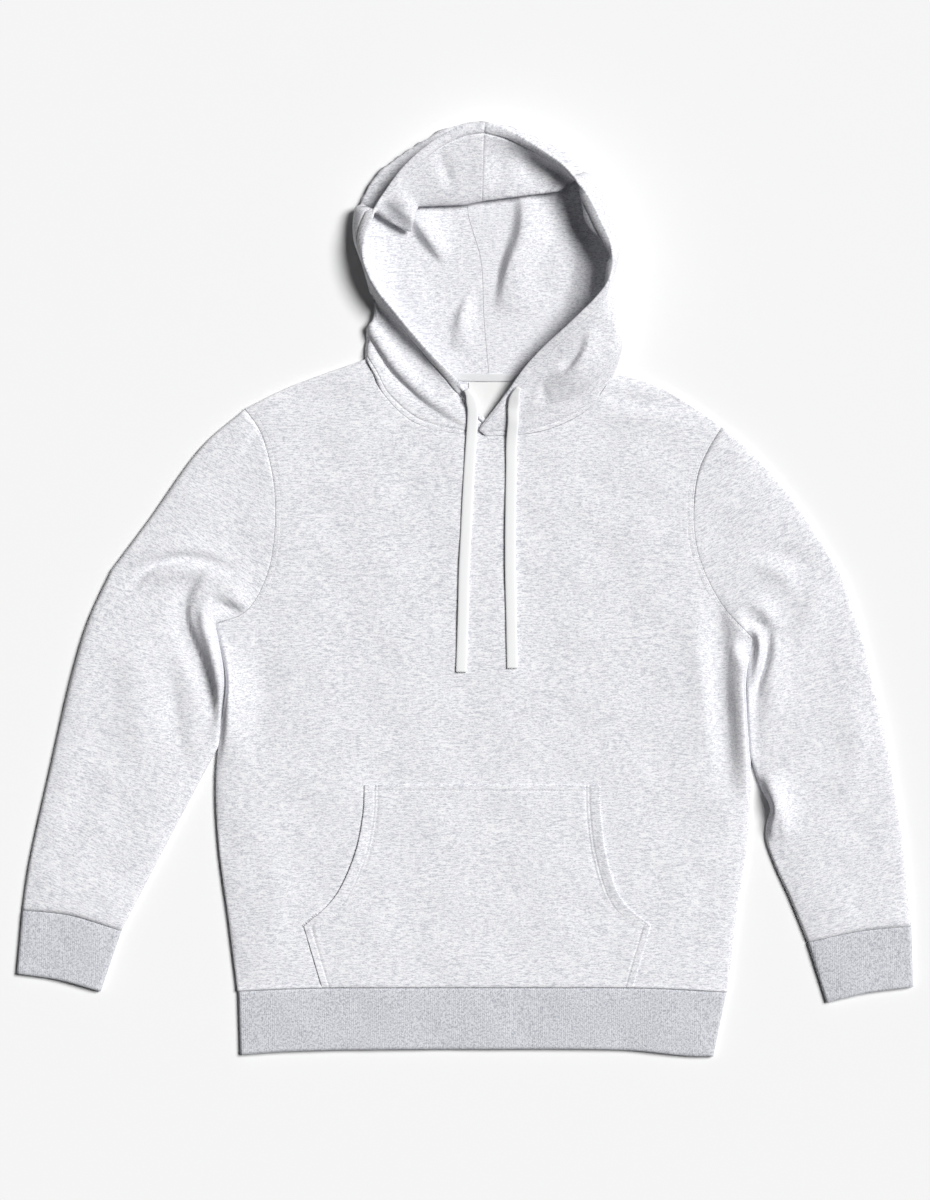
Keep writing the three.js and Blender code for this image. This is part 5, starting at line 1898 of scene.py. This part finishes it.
@dataclass(frozen=True)
class StitchRows:
    """Sewing: short rounded stitches along lines, laid by one node tree. Sizes are in millimetres."""

    stitch: float = 2.6
    gap: float = 0.6
    thread: float = 0.32
    seed: int = 7
    spread: tuple[float, float] = (0.86, 1.08)  # the stitches' lengths, as shares
    segments: int = 6
    rings: int = 4

    INPUTS = {"Stitch": "NodeSocketFloat", "Gap": "NodeSocketFloat", "Thread": "NodeSocketFloat",
              "Seed": "NodeSocketInt", "Material": "NodeSocketMaterial"}

    def tree(self) -> tuple[bpy.types.GeometryNodeTree, dict[str, str]]:
        """Builds the node tree.

        Returns:
            The tree, and the identifiers of its named inputs.
        """
        tree = bpy.data.node_groups.new("stitches along lines", "GeometryNodeTree")
        tree.interface.new_socket("Geometry", in_out="INPUT", socket_type="NodeSocketGeometry")
        names = {name: tree.interface.new_socket(name, in_out="INPUT", socket_type=kind).identifier
                 for name, kind in self.INPUTS.items()}
        tree.interface.new_socket("Geometry", in_out="OUTPUT", socket_type="NodeSocketGeometry")
        given = add_node(tree, "NodeGroupInput").outputs
        curves = add_node(tree, "GeometryNodeMeshToCurve", links={0: given["Geometry"]})
        pitch = add_node(tree, "ShaderNodeMath", {"operation": "ADD"}, {0: given["Stitch"], 1: given["Gap"]})
        points = add_node(tree, "GeometryNodeCurveToPoints", {"mode": "LENGTH"},
                          {"Curve": curves.outputs[0], "Length": pitch.outputs[0]})
        turn = add_node(tree, "FunctionNodeAlignRotationToVector", {"axis": "Z"},
                        {"Vector": points.outputs["Tangent"]})
        varied = add_node(tree, "FunctionNodeRandomValue", {"data_type": "FLOAT", 2: self.spread[0],
                                                            3: self.spread[1]}, {"Seed": given["Seed"]})
        half = add_node(tree, "ShaderNodeMath", {"operation": "MULTIPLY", 1: 0.5}, {0: given["Stitch"]})
        reach = add_node(tree, "ShaderNodeMath", {"operation": "MULTIPLY"},
                         {0: half.outputs[0], 1: varied.outputs[1]})
        size = add_node(tree, "ShaderNodeCombineXYZ",
                        links={0: given["Thread"], 1: given["Thread"], 2: reach.outputs[0]})
        ball = add_node(tree, "GeometryNodeMeshUVSphere", {
            "in:Segments": self.segments, "in:Rings": self.rings, "in:Radius": 1.0})
        laid = add_node(tree, "GeometryNodeInstanceOnPoints", links={
            "Points": points.outputs["Points"], "Instance": ball.outputs[0], "Rotation": turn.outputs[0],
            "Scale": size.outputs[0]})
        solid = add_node(tree, "GeometryNodeRealizeInstances", links={0: laid.outputs[0]})
        smooth = add_node(tree, "GeometryNodeSetShadeSmooth", links={0: solid.outputs[0]})
        done = add_node(tree, "GeometryNodeSetMaterial",
                        links={0: smooth.outputs[0], "Material": given["Material"]})
        add_node(tree, "NodeGroupOutput", links={0: done.outputs[0]})
        return tree, names

    def lay(self, name: str, lines: list[np.ndarray], material: bpy.types.Material) -> bpy.types.Object:
        """Lays stitches along lines.

        Args:
            name: the piece's name.
            lines: the lines, in the plan's millimetres.
            material: the thread's finish.

        Returns:
            The stitches as one plain mesh.
        """
        starts = np.cumsum([0, *[len(line) for line in lines]])
        edges = [(i, i + 1) for start, end in zip(starts, starts[1:]) for i in range(start, end - 1)]
        mesh = bpy.data.meshes.new(f"{name}_lines")
        mesh.from_pydata(PLACE.metres(np.vstack(lines)).tolist(), edges, [])
        made = bpy.data.objects.new(name, mesh)
        bpy.context.scene.collection.objects.link(made)
        tree, names = self.tree()
        change = made.modifiers.new("stitches", "NODES")
        change.node_group = tree
        values = {"Stitch": self.stitch * MM, "Gap": self.gap * MM, "Thread": self.thread * MM,
                  "Seed": self.seed, "Material": material}
        for key, value in values.items():
            change[names[key]] = value
        graph = bpy.context.evaluated_depsgraph_get()
        solid = bpy.data.meshes.new_from_object(made.evaluated_get(graph))
        made.modifiers.remove(change)
        made.data = solid
        bpy.data.meshes.remove(mesh)
        return made


@dataclass
class Studio:
    """The pale floor, the soft light and the camera straight above."""

    view_centre: tuple[float, float] = (0.0, -9.5)  # the middle of the picture, in the plan
    view_height: float = 1272
    distance: float = 6.0
    sensor: float = 36
    key_power: float = 4.05
    key_softness: float = 26
    key_place: tuple[float, float, float] = (1.9, 0.9, 2.8)
    fill: float = 0.02
    fill_colour: str = "#F4F6FA"
    floor_colour: str = "#F0F0F0"
    floor_roughness: float = 0.9
    floor_half: float = 12.0  # metres
    floor_drop: float = 0.0002  # how far it lies under the cloth, so that the two faces don't meet

    def camera(self) -> None:
        """Puts the camera over the garment."""
        data = bpy.data.cameras.new("camera")
        data.sensor_width = self.sensor
        data.lens = self.sensor * self.distance / (self.view_height * MM)
        data.clip_end = self.floor_half * 4
        made = bpy.data.objects.new("camera", data)
        x, y, _ = PLACE.metres(np.array([*self.view_centre, 0.0]))
        made.location = (x, y, self.distance)
        bpy.context.scene.collection.objects.link(made)
        bpy.context.scene.camera = made

    def light(self) -> None:
        """A large soft light from the upper right, and pale light from all round."""
        data = bpy.data.lights.new("key", "SUN")
        data.energy = self.key_power
        data.angle = math.radians(self.key_softness)
        made = bpy.data.objects.new("key", data)
        made.location = self.key_place
        made.rotation_mode = "QUATERNION"
        made.rotation_quaternion = made.location.to_track_quat("Z", "Y")
        bpy.context.scene.collection.objects.link(made)
        world = bpy.data.worlds.new("studio")
        world.use_nodes = True
        world.node_tree.nodes["Background"].inputs["Color"].default_value = linear(self.fill_colour)
        world.node_tree.nodes["Background"].inputs["Strength"].default_value = self.fill
        bpy.context.scene.world = world
        bpy.context.scene.view_settings.view_transform = "Standard"

    def floor(self) -> None:
        """A plain pale floor."""
        mesh = bpy.data.meshes.new("floor")
        corners = [(x * self.floor_half, y * self.floor_half, -self.floor_drop)
                   for x, y in ((-1, -1), (1, -1), (1, 1), (-1, 1))]
        mesh.from_pydata(corners, [], [(0, 1, 2, 3)])
        finish = PlainFinish("painted floor", self.floor_colour, self.floor_roughness)
        mesh.materials.append(finish.material())
        made = bpy.data.objects.new("floor", mesh)
        bpy.context.scene.collection.objects.link(made)


def main() -> None:
    """Builds the garment piece by piece, and the studio round it."""
    logging.basicConfig(level=logging.INFO, format="%(name)s: %(message)s")
    studio = Studio()
    studio.camera()
    fleece = HeatherCloth().material()
    rib = HeatherCloth(name="heather rib", ground="#DBDCE0", streak="#A3A5AE", streak_size=(2.0, 2.2, 2.0),
                       fleck_size=(1.0, 1.2, 1.0), wale=2.2, wale_share=0.3).material()
    thread = PlainFinish("cotton thread", "#DDDDDF", 0.6).material()
    # The second colour of each weave is the painted shade in its hollows.
    braid = ZigzagWeave("braided cord", "#FAFAFA", "#ECEDEF", 11.5, 1.5, 0.7).material()
    herringbone = ZigzagWeave("herringbone tape", "#EEEEEF", "#D6D7DB", 1.6, 1.1, 1.0).material()
    satin = SatinLabel().material()
    for hand in Hand:
        LOG.info("%s", Drawstring(hand).build(braid).name)
    body = Body()
    trim = NeckTrim()
    hood = [HoodPanel(Hand.LEFT), HoodPanel(Hand.RIGHT, skirt=1.0)]
    pieces = [
        (body.back(fleece), Slot.FLEECE), (body.front(fleece), Slot.FLEECE),
        *[(Sleeve(hand).build(fleece), Slot.FLEECE) for hand in Hand],
        *[(band.build(rib), Slot.RIB) for band in RIB_BANDS],
        (POCKET.build(fleece), Slot.FLEECE),
        *[(panel.build(fleece), Slot.FLEECE) for panel in hood],
        (trim.tape(herringbone), Slot.TAPE), (trim.label(satin), Slot.LABEL),
    ]
    for piece, slot in pieces:
        node = piece.name.removesuffix("_cloth")
        ride(piece, slot, node)
        CUTS[node].declare(piece)
        LOG.info("%s: %d faces", piece.name, len(piece.data.polygons))
    lines = [line for part in (body, POCKET, *hood) for line in part.stitches()]
    sewing = ride(StitchRows().lay("stitching", lines, thread), Slot.FLEECE)
    LOG.info("%s: %d faces", sewing.name, len(sewing.data.polygons))
    studio.light()
    studio.floor()


if __name__ == "__main__":
    main()
